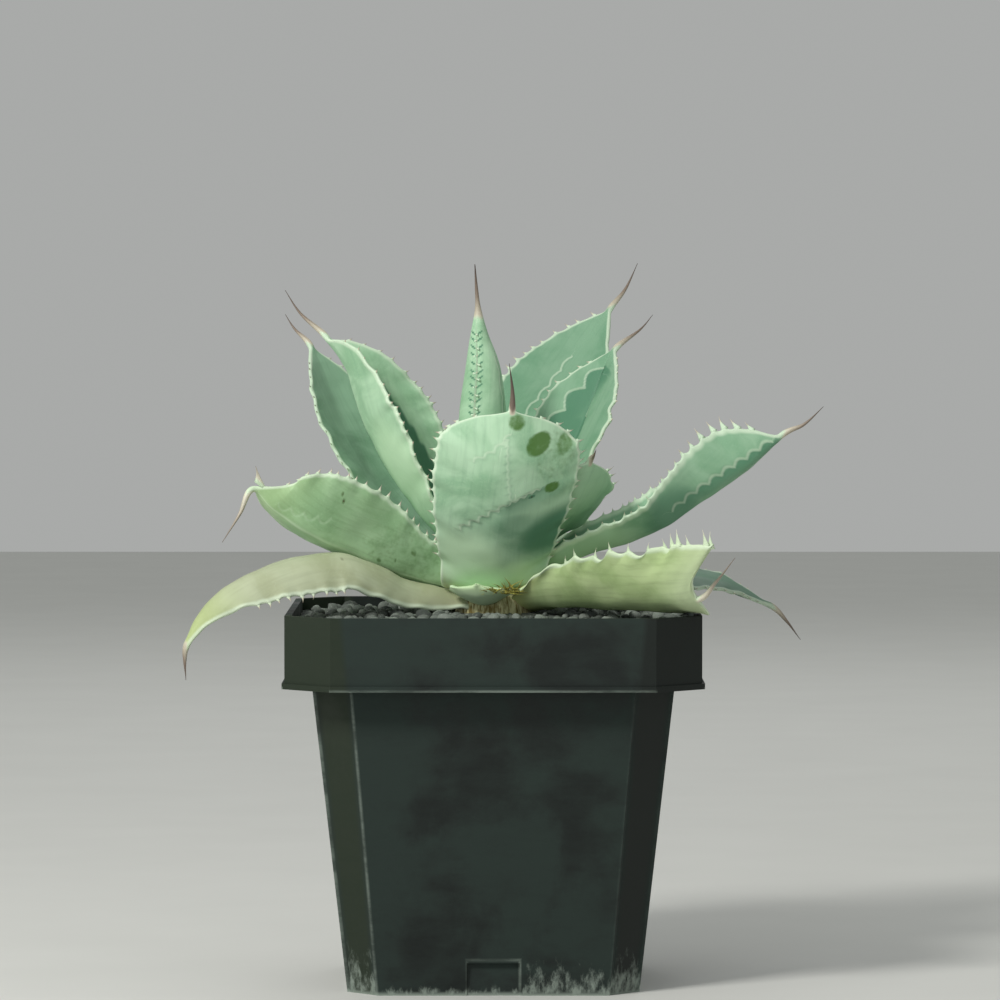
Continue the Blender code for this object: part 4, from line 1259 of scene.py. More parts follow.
LEAVES = (
    AgaveLeaf("leaf_front", -86,
              ((0, -5, 125.5), (0, -12, 127.5), (1, -22, 137), (3, -33, 152), (5, -40, 168), (6, -41, 184)),
              ((6, -41, 191), (5, -40, 199)),
              half_width=22.5, cup=0.28, widest=0.66, base=0.72, blunt=3.2, fill=0.9, sweep=(0.22, 0.22),
              spine_shade=0.55,
              # The shaded side of the first two prints is painted shade on its lower right
              imprints=(Imprint(OUTER, (0.63, 0.5), (0.57, 0.08), 0.5, 4, 1.1, 0.25, 0.6, 1.2, 0.55, 11.0),
                        Imprint(OUTER, (0.57, 0.08), (0.38, -0.6), 0.6, 5, 1.7, 0.25, 0.6, 0.0, 0.25, 10.0),
                        Imprint(OUTER, (0.90, 0.02), (0.74, -0.5), -0.8, 4, 1.2, 0.12, 0.4),
                        Imprint(OUTER, (0.88, -0.04), (0.6, 0.1), 0.6, 8, 0.5, 0.08, 0.35, 1.4)),
              spots=(Spot(OUTER, (0.85, 0.47), 3.6, 1.15, aslant=50), Spot(OUTER, (0.63, 0.66), 2.4, 0.75),
                     Spot(OUTER, (0.78, 0.7), 4.5, 1.3, 0.22, 0.8), Spot(OUTER, (0.95, 0.17), 2.5, 1.0, 0.8, 0.5),
                     Spot(OUTER, (0.82, 0.84), 2.3, 1.6, 0.65, 0.6)),
              # Small stains are scars; the broad ones at (0.36, 0.92) and (0.46, 0.2) are painted shade on its
              # lower right, the pale ones near its foot painted light
              stains=(Stain(OUTER, (0.61, 0.2), 0.4, 1.5), Stain(OUTER, (0.62, 0.3), 0.35),
                      Stain(OUTER, (0.605, 0.4), 0.4, 0.7), Stain(OUTER, (0.36, 0.92), 11.0, 0.75, 0.92, 12.0),
                      Stain(OUTER, (0.46, 0.2), 7.0, 0.7, 0.5, 12.0),
                      Stain(OUTER, (0.22, -0.45), 9.0, 1.2, -0.9), Stain(OUTER, (0.14, 0.3), 8.0, 0.9, -0.7))),
    AgaveLeaf("leaf_left_channelled", 162,
              ((-4, 2, 134.5), (-16, 6, 141), (-30, 11, 157), (-41, 15, 176), (-48, 17, 196), (-55, 20, 206)),
              ((-63, 22, 214), (-68, 24, 222)),
              half_width=17.5, cup=1.0, roll=(0, -2), widest=0.6, blunt=2.1, tooth=1.6, tip_tooth=1.4,
              cup_power=1.3, tooth_shade=0.45,
              # The print on its inner face paints the shadow that the near half casts on the far half; the pale
              # stain is painted light on the near half's lower part
              imprints=(Imprint(INNER, (0.84, -0.54), (0.2, -0.76), 5.6, 1, 0.0, 0.2, 0.0, 0.0, 1.1, 14.0, 6.0),),
              stains=(Stain(OUTER, (0.45, 0.55), 7.0, 2.2, -0.6),)),
    AgaveLeaf("leaf_left_back", 143,
              ((-6, 4, 128), (-22, 16, 139), (-38, 28, 156), (-50, 37, 177), (-57, 43, 193), (-61, 46, 203)),
              ((-66, 50, 209), (-69, 52, 214)),
              half_width=20, cup=0.34, widest=0.6, slot=Slot.SHADE, tooth=1.3, tip_tooth=1.3),
    AgaveLeaf("leaf_right_back_tall", 62,
              ((1.5, 5.5, 136), (4, 22, 152), (12, 38, 173), (23, 49, 190), (32, 57, 204), (39, 61, 215)),
              ((44, 64, 222), (48, 66, 231)),
              half_width=19, cup=0.32, roll=(0, -8), widest=0.66, base=0.18, blunt=1.8, fill=1.3,
              bare_margins=((-1, 0.7, 1.0),), depth=0.62,
              imprints=(Imprint(INNER, (0.42, 0.38), (0.8, 0.1), 0.5, 6, 1.3, 0.2, 0.5),)),
    AgaveLeaf("leaf_right_upright", 31,
              ((5, 2.2, 132.3), (17, 6.5, 147), (26, 10.5, 165), (32, 15, 180), (37, 18, 194), (40, 20, 202)),
              ((48, 25, 209), (52, 26, 214)),
              half_width=19.5, cup=0.38, roll=(0, 8), base=0.18, fill=1.3, cup_power=1.15, tooth=1.4,
              tip_tooth=1.4, depth=0.58, unevenness=0.1,
              # Painted shade on its left half, which turns from the light: the prints' shaded side and the stain
              # at (0.6, 0.2)
              imprints=(Imprint(INNER, (0.48, 0.86), (0.92, -0.02), 2.5, 4, 3.4, 0.3, 0.45, 0.0, 1.1, 19.0, 2.5),
                        Imprint(INNER, (0.88, -0.08), (0.35, -0.42), 0.0, 1, 0.0, 0.4, 0.4, 0.0, 1.1, 10.0, 3.0)),
              stains=(Stain(INNER, (0.6, 0.2), 7.0, 1.2, 1.0), Stain(INNER, (0.62, -0.8), 6.5, 2.6, 0.4)),
              long_teeth=tuple(LongTooth(-1, place, 2.3) for place in (0.46, 0.56, 0.66, 0.76))),
    AgaveLeaf("leaf_right_young", -50,
              ((5, -4, 132.2), (12, -8.7, 138), (20, -15, 146.5), (27, -22, 157.5), (31, -26.5, 167)),
              ((32, -29.5, 169.5), (32.5, -32, 171.5)),
              half_width=18, cup=0.22, widest=0.66, base=0.22, blunt=2.8, fill=1.2, depth=0.2, tooth=2.5,
              tip_tooth=2.5, waver=0.5),
    AgaveLeaf("leaf_right_long", -12,
              ((6, -1.8, 128.2), (33, -7, 138), (52, -11, 144.5), (76, -16, 161), (92, -20, 175)),
              ((99, -21, 179), (105, -22, 185)),
              half_width=10.6, cup=1.1, roll=(14, -34), turn=(0.52, 0.84), widest=0.78, base=0.45, blunt=2.4,
              fill=0.85, tooth=1.3, tip_tooth=2.0, tooth_shade=0.22, tubercle=0.95, depth=0.45,
              # Painted shade on its under-lit lower part: the print's shaded side and the stain at (0.58, -0.4);
              # the pale stain at (0.28, -0.3) is painted light
              imprints=(Imprint(OUTER, (0.97, -0.3), (0.58, -0.45), 0.8, 8, 1.1, 0.2, 0.45, 1.0, 0.8, 7.0),),
              stains=(Stain(OUTER, (0.58, -0.4), 5.2, 2.0, 0.8), Stain(OUTER, (0.28, -0.3), 7.5, 1.8, -0.8)),
              long_teeth=(LongTooth(-1, 0.80, 3.4), LongTooth(-1, 0.845, 3.6), LongTooth(-1, 0.88, 4.0, 0.3),
                          LongTooth(-1, 0.915, 3.8), LongTooth(-1, 0.945, 3.0))),
    AgaveLeaf("leaf_left_low", 196,
              ((-6, -2, 125), (-27, -7, 130), (-43, -12, 137), (-58, -17, 144), (-70, -20, 152), (-76, -22, 158)),
              ((-80, -24, 151), (-84, -26, 145), (-86, -27, 142)),
              half_width=18, cup=0.7, roll=(35, 35), base=0.42, blunt=2.8, slot=Slot.OLIVE, ripple=0.3,
              tooth_shade=0.5,
              imprints=(Imprint(OUTER, (0.90, 0.3), (0.68, 0.45), 0.3, 4, 1.9, 0.12, 0.15, 0.0, 0.12, 5.0),),
              spots=(Spot(OUTER, (0.34, 0.45), 5.0, 1.8, 0.2, 0.85),),
              # The broad stain at (0.66, 0.75) is painted shade, the broad pale one at (0.34, -0.1) painted light
              stains=(Stain(OUTER, (0.69, 0.8), 0.4, 0.6), Stain(OUTER, (0.67, 0.74), 0.3, 1.6),
                      Stain(OUTER, (0.42, 0.1), 0.4, 1.6, 1.3), Stain(OUTER, (0.36, 0.3), 0.35, 1.0, 1.4),
                      Stain(OUTER, (0.3, 0.6), 0.4, 2.2, 1.35), Stain(OUTER, (0.26, 0.35), 6.0, 1.6, 0.25),
                      Stain(OUTER, (0.66, 0.75), 8.0, 2.2, 0.32), Stain(OUTER, (0.34, -0.1), 9.0, 1.8, -0.3)),
              long_teeth=(LongTooth(1, 0.985, 3.4, 1.85, 2.7, 1.0),)),
    AgaveLeaf("leaf_left_arching", 203,
              ((-7, -3, 121.4), (-27, -10, 125), (-40, -16, 131), (-51, -20, 134.5), (-68, -27, 132),
               (-82, -32, 126), (-92, -36, 118), (-96, -38, 110)),
              ((-97, -38, 105), (-97, -38, 99)),
              half_width=11.2, cup=-0.4, roll=(-15, -20), widest=0.5, base=0.46, blunt=1.6, slot=Slot.CREAM,
              bare_margins=((-1, 0.0, 0.7), (1, 0.0, 0.44), (1, 0.76, 1.0)),
              stains=(Stain(OUTER, (0.5, 0.5), 0.3, 2.0, 1.4), Stain(INNER, (0.45, 0.2), 0.3, 1.6, 1.4))),
    AgaveLeaf("leaf_right_low", -45,
              ((6, -6, 121), (21, -22, 122.5), (37, -40, 123), (50, -52, 123.5), (63.5, -63.5, 125)),
              ((69, -67, 131), (75, -68, 139)),
              half_width=17.5, cup=0.5, roll=(-31, -35), widest=0.92, base=0.4, blunt=3.2, fill=0.42,
              sweep=(1.15, -0.45), sweep_power=1.5, slot=Slot.YELLOW, ripple=0.4, waver=0.7, tooth=2.4,
              tip_tooth=3.4, pitch=6.8, tubercle=1.3, tubercle_width=1.9, tooth_shade=0.15,
              long_teeth=(LongTooth(-1, 0.78, 4.2), LongTooth(-1, 0.9, 4.8), LongTooth(-1, 0.95, 4.6, 0.3))),
    AgaveLeaf("leaf_right_drooping", 20,
              ((7, 3, 124.5), (38, 14, 126), (62, 23, 126), (76, 28, 124), (90, 33, 118)),
              ((96, 36, 113), (101, 39, 107)),
              half_width=14, cup=0.2, roll=(0, 22), widest=0.56, base=0.38, blunt=1.6, slot=Slot.SHADE,
              depth=0.75),
    AgaveLeaf("leaf_back", 92,
              ((-1, 6, 129.5), (-2, 22, 139.5), (-2, 42, 153), (-3, 58, 162), (-4, 70, 167)),
              ((-4, 76, 171), (-4, 81, 177)),
              half_width=18, cup=0.4, widest=0.64, base=0.2, slot=Slot.SHADE,
              imprints=(Imprint(OUTER, (0.30, -0.5), (0.8, 0.3), 1.0, 9),)),
    AgaveLeaf("leaf_back_low_right", 73,
              ((2, 6, 121), (10, 32, 127), (17, 54, 133), (22, 72, 134), (26, 84, 132)),
              ((28, 90, 133), (30, 96, 137)),
              half_width=19, cup=0.3, widest=0.64, base=0.3, slot=Slot.OLIVE,
              imprints=(Imprint(INNER, (0.35, 0.6), (0.85, -0.1), 1.0, 8, shade=0.3),)),
    AgaveLeaf("leaf_back_low_left", 122,
              ((-4, 6, 124.5), (-18, 28, 131), (-30, 48, 138), (-40, 64, 140), (-47, 75, 138)),
              ((-50, 80, 140), (-53, 85, 144)),
              half_width=20, cup=0.3, widest=0.64, base=0.28, slot=Slot.OLIVE,
              imprints=(Imprint(INNER, (0.35, -0.6), (0.85, 0.1), 1.0, 8, shade=0.3),)),
    AgaveLeaf("withered_leaf_base", -104,
              ((-2, -7, 120.8), (-4, -14, 121.4), (-5, -19, 124), (-5.5, -21.5, 127.5)),
              ((-5.6, -21.8, 128.2), (-5.6, -21.9, 128.8)),
              half_width=10, cup=0.4, widest=0.5, base=0.62, blunt=5.0, slot=Slot.CREAM, toothed=False,
              paleness=0.55),
)


@dataclass(frozen=True)
class RolledBud:
    """The young leaf in the middle, still rolled: a slender cone whose edges meet in a zip of teeth, in mm."""

    node: str = "bud"
    # X, Y, height and radius
    profile: tuple = ((-2.0, 0.0, 138.4, 3.6), (-2.5, 0.0, 147.0, 6.4), (-3.0, 0.0, 160.0, 7.8),
                      (-3.2, 0.0, 172.0, 7.9), (-3.2, 0.0, 184.0, 7.4), (-3.2, 0.0, 198.0, 5.4),
                      (-4.5, 0.0, 208.5, 2.7), (-5.0, 0.0, 216.5, 0.95), (-5.5, 0.0, 223.0, 0.5),
                      (-6.0, 0.0, 230.6, 0.12))
    spine_foot: float = 215.0
    seam: float = 248.0             # direction of the free edge, degrees from +X
    overlap: float = 0.9
    full_radius: float = 5.0        # overlap and teeth shrink below it
    closing: float = 0.995          # share of a full turn
    step: float = 0.5
    around: int = 120
    samples: int = 400              # along the profile
    zip_from: float = 158.0
    zip_to: float = 207.0
    zip_pitch: float = 4.6          # between teeth of one side
    zip_spread: tuple[float, float] = (0.42, 0.6)
    tooth: float = 2.0
    tooth_spread: tuple[float, float] = (0.8, 1.1)
    tooth_foot: float = 0.5
    tooth_thickness: float = 0.28
    tooth_shade: float = 0.25
    tooth_sides: int = 8
    tooth_rings: int = 7
    tooth_point: float = 0.04       # share of its foot that is left at its point
    tooth_proud: float = 0.25       # how far its foot stands off the surface
    tooth_back: float = 0.55        # how far its foot lies behind the seam, in its lengths
    tooth_lift: float = 0.45        # how much it curves upwards
    closed_below: float = 12.0      # the overlap ends over this far below the spine
    ragged: float = 0.05            # unevenness of the free edge
    ragged_wave: float = 2.1
    ragged_power: int = 12          # the higher, the narrower the strip that it takes
    print_scallop: float = 0.7      # of the inner print
    print_wave: float = 2.6
    print_strength: float = 0.6
    print_end: float = 6.0          # it ends this far below the last tooth
    horn_from: float = 3.5          # how far below the spine its horn starts
    cordless: float = 0.6           # makes the pale cord along the seam narrower
    dent_place: float = 1.1         # painted shadow in the dent beside each tooth: from the seam
    dent_rise: float = 0.6          # how it slants
    dent_size: float = 0.9
    dent_width: float = 0.28
    dent_reach: float = 1.6         # in its size and width
    dent_strength: float = 1.3
    inner_print: float = 0.24       # share of a turn from the seam where another margin's print runs

    def tooth_heights(self, rng: random.Random) -> list[float]:
        """Heights of the teeth in the seam, which lie to either side in turn.

        Args:
            rng: Random numbers.

        Returns:
            Their heights in mm.
        """
        heights = [self.zip_from]
        while heights[-1] < self.zip_to:
            heights.append(heights[-1] + self.zip_pitch * rng.uniform(*self.zip_spread))
        return heights

    def centre(self, z: np.ndarray) -> tuple[np.ndarray, np.ndarray, np.ndarray]:
        """Axis and radius at heights.

        Args:
            z: Heights in mm.

        Returns:
            X, Y and radius.
        """
        table = np.array(self.profile)
        fine = curve_points(table, np.linspace(0, 1, self.samples))
        return tuple(np.interp(z, fine[:, 2], fine[:, k]) for k in (0, 1, 3))

    def wrapped(self, teeth: list[float]) -> tuple[np.ndarray, dict[str, np.ndarray]]:
        """The wrapped surface.

        Args:
            teeth: Heights of the teeth, each of which left a dent beside the seam, painted dark as shadow.

        Returns:
            Its rings, and the marks that its skin reads.
        """
        foot, point = self.profile[0][2], self.profile[-1][2]
        z = np.arange(foot, point, self.step)
        x, y, radius = self.centre(z)
        share = np.linspace(0, 1, self.around)
        angle = math.radians(self.seam) + math.tau * share * self.closing
        closed = smooth((self.spine_foot - z) / self.closed_below)
        lap = self.overlap * np.minimum(radius / self.full_radius, 1.0) * closed
        ragged = self.ragged * np.sin(z / self.ragged_wave) * closed
        reach = radius[:, None] + lap[:, None] * (share - 0.5) + ragged[:, None] * share ** self.ragged_power
        rings = stacked(x[:, None] + reach * np.cos(angle), y[:, None] + reach * np.sin(angle), z[:, None])
        arc = np.minimum(share, 1 - share)[None, :] * math.tau * radius[:, None]
        gap = ((share - self.inner_print)[None, :] * math.tau * radius[:, None]
               + self.print_scallop * np.abs(np.sin(z / self.print_wave))[:, None])
        gap = np.where(z[:, None] < self.zip_to - self.print_end, gap, NO_PRINT)
        dent_shadows = np.zeros(reach.shape)
        for height in teeth:
            rise = z[:, None] - height - self.dent_rise * arc
            miss = np.hypot((arc - self.dent_place) / self.dent_size, rise / self.dent_width)
            dent_shadows = np.maximum(dent_shadows, self.dent_strength * smooth(self.dent_reach - miss))
        horn = np.clip((z - self.spine_foot + self.horn_from) / (point - self.spine_foot + self.horn_from), 0, 1)
        t = (z - foot) / (self.spine_foot - foot)
        return rings, {
            "place": stacked(t[:, None], share, 0.0),
            "marks": stacked(arc * 2 + self.cordless, UNRUBBED, dent_shadows),
            "print": stacked(-gap, self.print_strength, 0.0),
            "run": stacked(z[:, None], share * math.tau * radius[:, None], 0.0),
            "horn": horn[:, None, None],
        }

    def tooth_at(self, height: float, side: int, rng: random.Random) -> tuple[np.ndarray, np.ndarray]:
        """One tooth of the seam.

        Args:
            height: Where it stands, in mm.
            side: The side that it points to.
            rng: Random numbers.

        Returns:
            Its rings and each one's share of its length.
        """
        x, y, radius = (float(v) for v in self.centre(np.array(height)))
        seam = math.radians(self.seam)
        outward = np.array([math.cos(seam), math.sin(seam), 0.0])
        sideways = np.array([-math.sin(seam), math.cos(seam), 0.0]) * side
        size = self.tooth * rng.uniform(*self.tooth_spread) * min(radius / self.full_radius, 1.0)
        root = (np.array([x, y, height]) + outward * (radius + self.tooth_proud)
                - sideways * self.tooth_back * size)
        rows = np.linspace(0, 1, self.tooth_rings)
        up = np.array([0.0, 0.0, 1.0])
        middle = root + sideways * (size * rows)[:, None] + up * self.tooth_lift * (size * rows ** 2)[:, None]
        girth = np.clip((1 - rows) ** 1.4, self.tooth_point, None)
        rings = rings_round(middle, up * self.tooth_foot, outward * self.tooth_thickness, girth, self.tooth_sides)
        return rings, rows ** 1.5

    def mesh(self) -> RingMesh:
        """Builds the wrapped surface and the teeth on its seam, with the marks that its skin reads.

        Returns:
            The mesh.
        """
        rng = random.Random(SEED)
        teeth = self.tooth_heights(rng)
        rings, marks = self.wrapped(teeth)
        rolled = RingMesh()
        rolled.add(rings, **marks)
        foot = self.profile[0][2]
        for number, height in enumerate(teeth):
            rings, shares = self.tooth_at(height, -1 if number % 2 else 1, rng)
            rolled.add(rings, place=((height - foot) / (self.spine_foot - foot), 0.0, 0.0),
                       marks=(0.0, UNRUBBED, 0.0), print=(NO_PRINT, 0.0, 0.0), run=(height, 0.0, 0.0),
                       horn=(shares * self.tooth_shade)[:, None, None])
        return rolled

    def build(self, skins: dict[Slot, bpy.types.Material]) -> None:
        """Adds the bud in place of its CAD node.

        Args:
            skins: The finish for each slot.
        """
        self.mesh().build(self.node + "_rolled", skins[Slot.MINT], Slot.MINT, self.node)


@dataclass(frozen=True)
class FibreTuft:
    """Dry fibres that an old leaf left at the foot of the rosette, in front. All in mm."""

    root: tuple[float, float, float] = (3.5, -19.0, 126.5)
    strands: int = 46
    length: tuple[float, float] = (3.0, 6.5)
    radius: float = 0.24
    thickness: tuple[float, float] = (0.6, 1.3)     # range of a strand's radius as a share of that
    blunt: float = 0.05             # share of it that is left at the point
    sides: int = 6
    rings: int = 12
    scatter: tuple = ((-4, 5), (-2.5, 0.5), (-1.5, 0.5))            # ranges of a strand's start round the root
    aims: tuple = ((-1, 1), (-0.75, -0.1), (-0.1, 0.5))             # of its direction
    droops: tuple = ((-0.4, 0.4), (-0.2, 0.2), (-0.7, 0.2))         # and of its bend

    def build(self, fibre: bpy.types.Material) -> None:
        """Adds the strands as one piece.

        Args:
            fibre: Their finish.
        """
        rng = random.Random(SEED)
        tuft = RingMesh()
        for _ in range(self.strands):
            start, aim, droop = (np.array([rng.uniform(*ends) for ends in ranges])
                                 for ranges in (self.scatter, self.aims, self.droops))
            size = rng.uniform(*self.length)
            rows = np.linspace(0, 1, self.rings)
            middle = (np.array(self.root) + start + unit(aim) * (size * rows)[:, None]
                      + droop * (size * 0.5 * rows ** 2)[:, None])
            ahead = unit(np.gradient(middle, axis=0))
            first = unit(np.cross(ahead, [0.3, 0.2, 1.0]))
            second = np.cross(ahead, first)
            girth = self.radius * rng.uniform(*self.thickness) * (1 + self.blunt - rows)
            tuft.add(rings_round(middle, first, second, girth, self.sides))
        tuft.build("fibre_tuft", fibre, Slot.LEAF_BASE)


WEATHERED_HORN = ("#D6D2BE", "#A79C8C", "#6A5A50")
SKINS = {
    # Younger leaves: a whole bloom of wax, so a pale greyish mint
    Slot.MINT: GlaucousSkin("Agave skin, waxed mint", 0.58, waxed="#B5D8B6", skin="#93BE98", deep="#4A7F62"),
    # Leaves in the shade: a darker copy of the mint skin, painted shade
    Slot.SHADE: GlaucousSkin("Agave skin, painted shade", 0.55, waxed="#8DB495", skin="#719C7B", deep="#446F58",
                             bloom=0.04),
    # Older leaves: wax worn, olive showing through, horn bleached
    Slot.OLIVE: GlaucousSkin("Agave skin, worn olive", 0.55, waxed="#B0D2A8", skin="#92B98B", deep="#6C8C5E",
                             tip="#B4CE92", tip_share=0.45, wear=0.3, keel_highlight=0.4, horn=WEATHERED_HORN),
    # The oldest: its green has faded to a greyish cream
    Slot.CREAM: GlaucousSkin("Agave skin, faded cream", 0.65, waxed="#B6BFA0", skin="#A6AE8C", deep="#8F957A",
                             foot="#A9AC8A", tip="#AFC27A", foot_share=0.3, tip_share=0.7, wear=0.25),
    # A leaf that turns yellow from its base, horn bleached
    Slot.YELLOW: GlaucousSkin("Agave skin, yellowing", 0.55, waxed="#C2D79E", skin="#ACC588", deep="#86A06A",
                              foot="#CBD58F", tip="#BFCDAC", tip_share=0.6, wear=0.3, horn=WEATHERED_HORN),
}


@dataclass(frozen=True)
class Rosette:
    """The plant: the skins of its leaves, the leaves, the rolled bud, the stem and its fibres."""

    skins: dict[Slot, GlaucousSkin] = field(default_factory=lambda: SKINS)
    leaves: tuple[AgaveLeaf, ...] = LEAVES
    bud: RolledBud = field(default_factory=RolledBud)
    tuft: FibreTuft = field(default_factory=FibreTuft)

    def build(self) -> None:
        """Adds the plant's pieces and dresses the stem."""
        skins = {slot: skin.build() for slot, skin in self.skins.items()}
        for leaf in self.leaves:
            leaf.build(skins)
        self.bud.build(skins)
        dress_node("stem", DeadFibre("Dried leaf base and fibre", 0.85).build())
        self.tuft.build(DeadFibre("Dried leaf fibre, olive", 0.8, straw="#B3AE55", brown="#5B5319").build())


# Pot and filling

@dataclass(frozen=True)
class PotOutline:
    """Square with cut corners, as the pot's maker drew it, mm."""

    height: float = 120.0
    rim_width: float = 131.0
    rim_flat: float = 101.4         # a flat is the width of a side between the cut corners
    band: float = 23.0
    bead: float = 0.9               # how far the lip stands out
    top_width: float = 114.0        # of the body, where the band starts
    top_flat: float = 89.0
    base_width: float = 92.5
    base_flat: float = 73.2
    face_step: float = 0.9          # how far the corner panels lie behind the body's flats
    band_step: float = 0.05         # and behind the band's
    wall: float = 2.2
    floor: float = 2.6
    mitre: float = math.tan(math.radians(22.5))

    def ring(self, z: float, width: float, flat: float, step: float) -> list[tuple[float, float, float]]:
        """One ring of the pot.

        Args:
            z: Height.
            width: Full width across the flats.
            flat: Width of one flat between the cut corners.
            step: How far the corner panels lie behind the flats.

        Returns:
            Sixteen points.
        """
        half, end = width / 2, flat / 2
        behind = end + step * self.mitre
        corner = ((half, end), (half - step, behind), (behind, half - step), (end, half))
        ring = []
        for quarter in range(4):
            turn = Matrix.Rotation(math.radians(90 * quarter), 3, "Z")
            ring += [tuple(turn @ Vector((x, y, z))) for x, y in corner]
        return ring

    def body(self, z: float) -> tuple[float, float]:
        """Width and flat of the body at a height."""
        share = z / (self.height - self.band)
        return (self.base_width + (self.top_width - self.base_width) * share,
                self.base_flat + (self.top_flat - self.base_flat) * share)

    def inside(self, z: float) -> tuple[float, float, float, float]:
        """Section of the inside at a height."""
        thick = 2 * self.wall
        if z > self.height - self.band + self.wall:
            return z, self.rim_width - thick, self.rim_flat - thick * self.mitre, self.band_step
        width, flat = self.body(z)
        return z, width - thick, flat - thick * self.mitre, self.face_step

    def sections(self) -> list[tuple[float, float, float, float]]:
        """Outside from the foot up, over the rim, and the inside down to the floor."""
        ledge = self.height - self.band
        bead_width = self.rim_width + 2 * self.bead
        return [
            (0.0, *self.body(0.0), self.face_step),
            (ledge, *self.body(ledge), self.face_step),
            (ledge, bead_width, self.rim_flat, self.band_step),
            (ledge + 2 * self.bead, bead_width, self.rim_flat, self.band_step),
            (ledge + 2 * self.bead, self.rim_width, self.rim_flat, self.band_step),
            (self.height, self.rim_width, self.rim_flat, self.band_step),
            self.inside(self.height),
            self.inside(ledge + self.wall + 0.01),
            self.inside(ledge + self.wall - 0.01),
            self.inside(self.floor),
        ]


@dataclass(frozen=True)
class NurseryPot:
    """The moulded pot, with the rounding that a mould leaves on every edge. All in mm."""

    outline: PotOutline = field(default_factory=PotOutline)
    edge_round: float = 0.5
    round_steps: int = 3
    sharp_angle: float = 18.0       # an edge that turns by more is rounded, degrees
    recess: tuple[float, float, float] = (16.7, 11.4, 1.6)      # width, height and depth of the cutter
    recess_setback: float = 0.35
    drain_radius: float = 4.5
    drain_place: float = 23.0       # from the middle, along X and along Y
    drain_sides: int = 48

    def add_cutter(self) -> bpy.types.Object:
        """Makes the recesses and drain holes as one cutter.

        Returns:
            The cutter, to be removed once it has cut.
        """
        bm = bmesh.new()
        wide, high, deep = self.recess
        for quarter in range(4):
            block = bmesh.ops.create_cube(bm, size=1.0)["verts"]
            bmesh.ops.scale(bm, vec=(deep, wide, 2 * high), verts=block)
            bmesh.ops.translate(bm, vec=(self.outline.base_width / 2 + self.recess_setback, 0, 0), verts=block)
            turn = Matrix.Rotation(math.radians(90 * quarter), 3, "Z")
            bmesh.ops.rotate(bm, cent=(0, 0, 0), matrix=turn, verts=block)
        for x, y in ((-1, -1), (-1, 1), (1, -1), (1, 1)):
            drill = bmesh.ops.create_cone(bm, cap_ends=True, segments=self.drain_sides, radius1=self.drain_radius,
                                          radius2=self.drain_radius, depth=4 * self.outline.floor)["verts"]
            bmesh.ops.translate(bm, vec=(x * self.drain_place, y * self.drain_place, 0), verts=drill)
        bmesh.ops.scale(bm, vec=(MM, MM, MM), verts=bm.verts)
        return add_object("cutter", mesh_from("cutter", bm))

    def build(self) -> None:
        """Adds the pot in place of its CAD node."""
        finish = MouldedPolypropylene("Polypropylene, injection moulded black", 0.5, 1.49).build()
        rings = [self.outline.ring(*section) for section in self.outline.sections()]
        moulded = RingMesh()
        moulded.add(np.array(rings))
        pot = moulded.build("nursery_pot", finish, Slot.POT, "pot")
        cutter = self.add_cutter()
        cut = pot.modifiers.new("cuts", "BOOLEAN")
        cut.operation, cut.solver, cut.object = "DIFFERENCE", "EXACT", cutter
        rounding = pot.modifiers.new("mould radius", "BEVEL")
        rounding.width, rounding.segments = self.edge_round * MM, self.round_steps
        rounding.limit_method, rounding.angle_limit = "ANGLE", math.radians(self.sharp_angle)
        rounding.harden_normals = True
        bpy.context.view_layer.update()
        graph = bpy.context.evaluated_depsgraph_get()
        finished = bpy.data.meshes.new_from_object(pot.evaluated_get(graph))
        pot.modifiers.clear()
        pot.data = finished
        bpy.data.objects.remove(cutter, do_unlink=True)


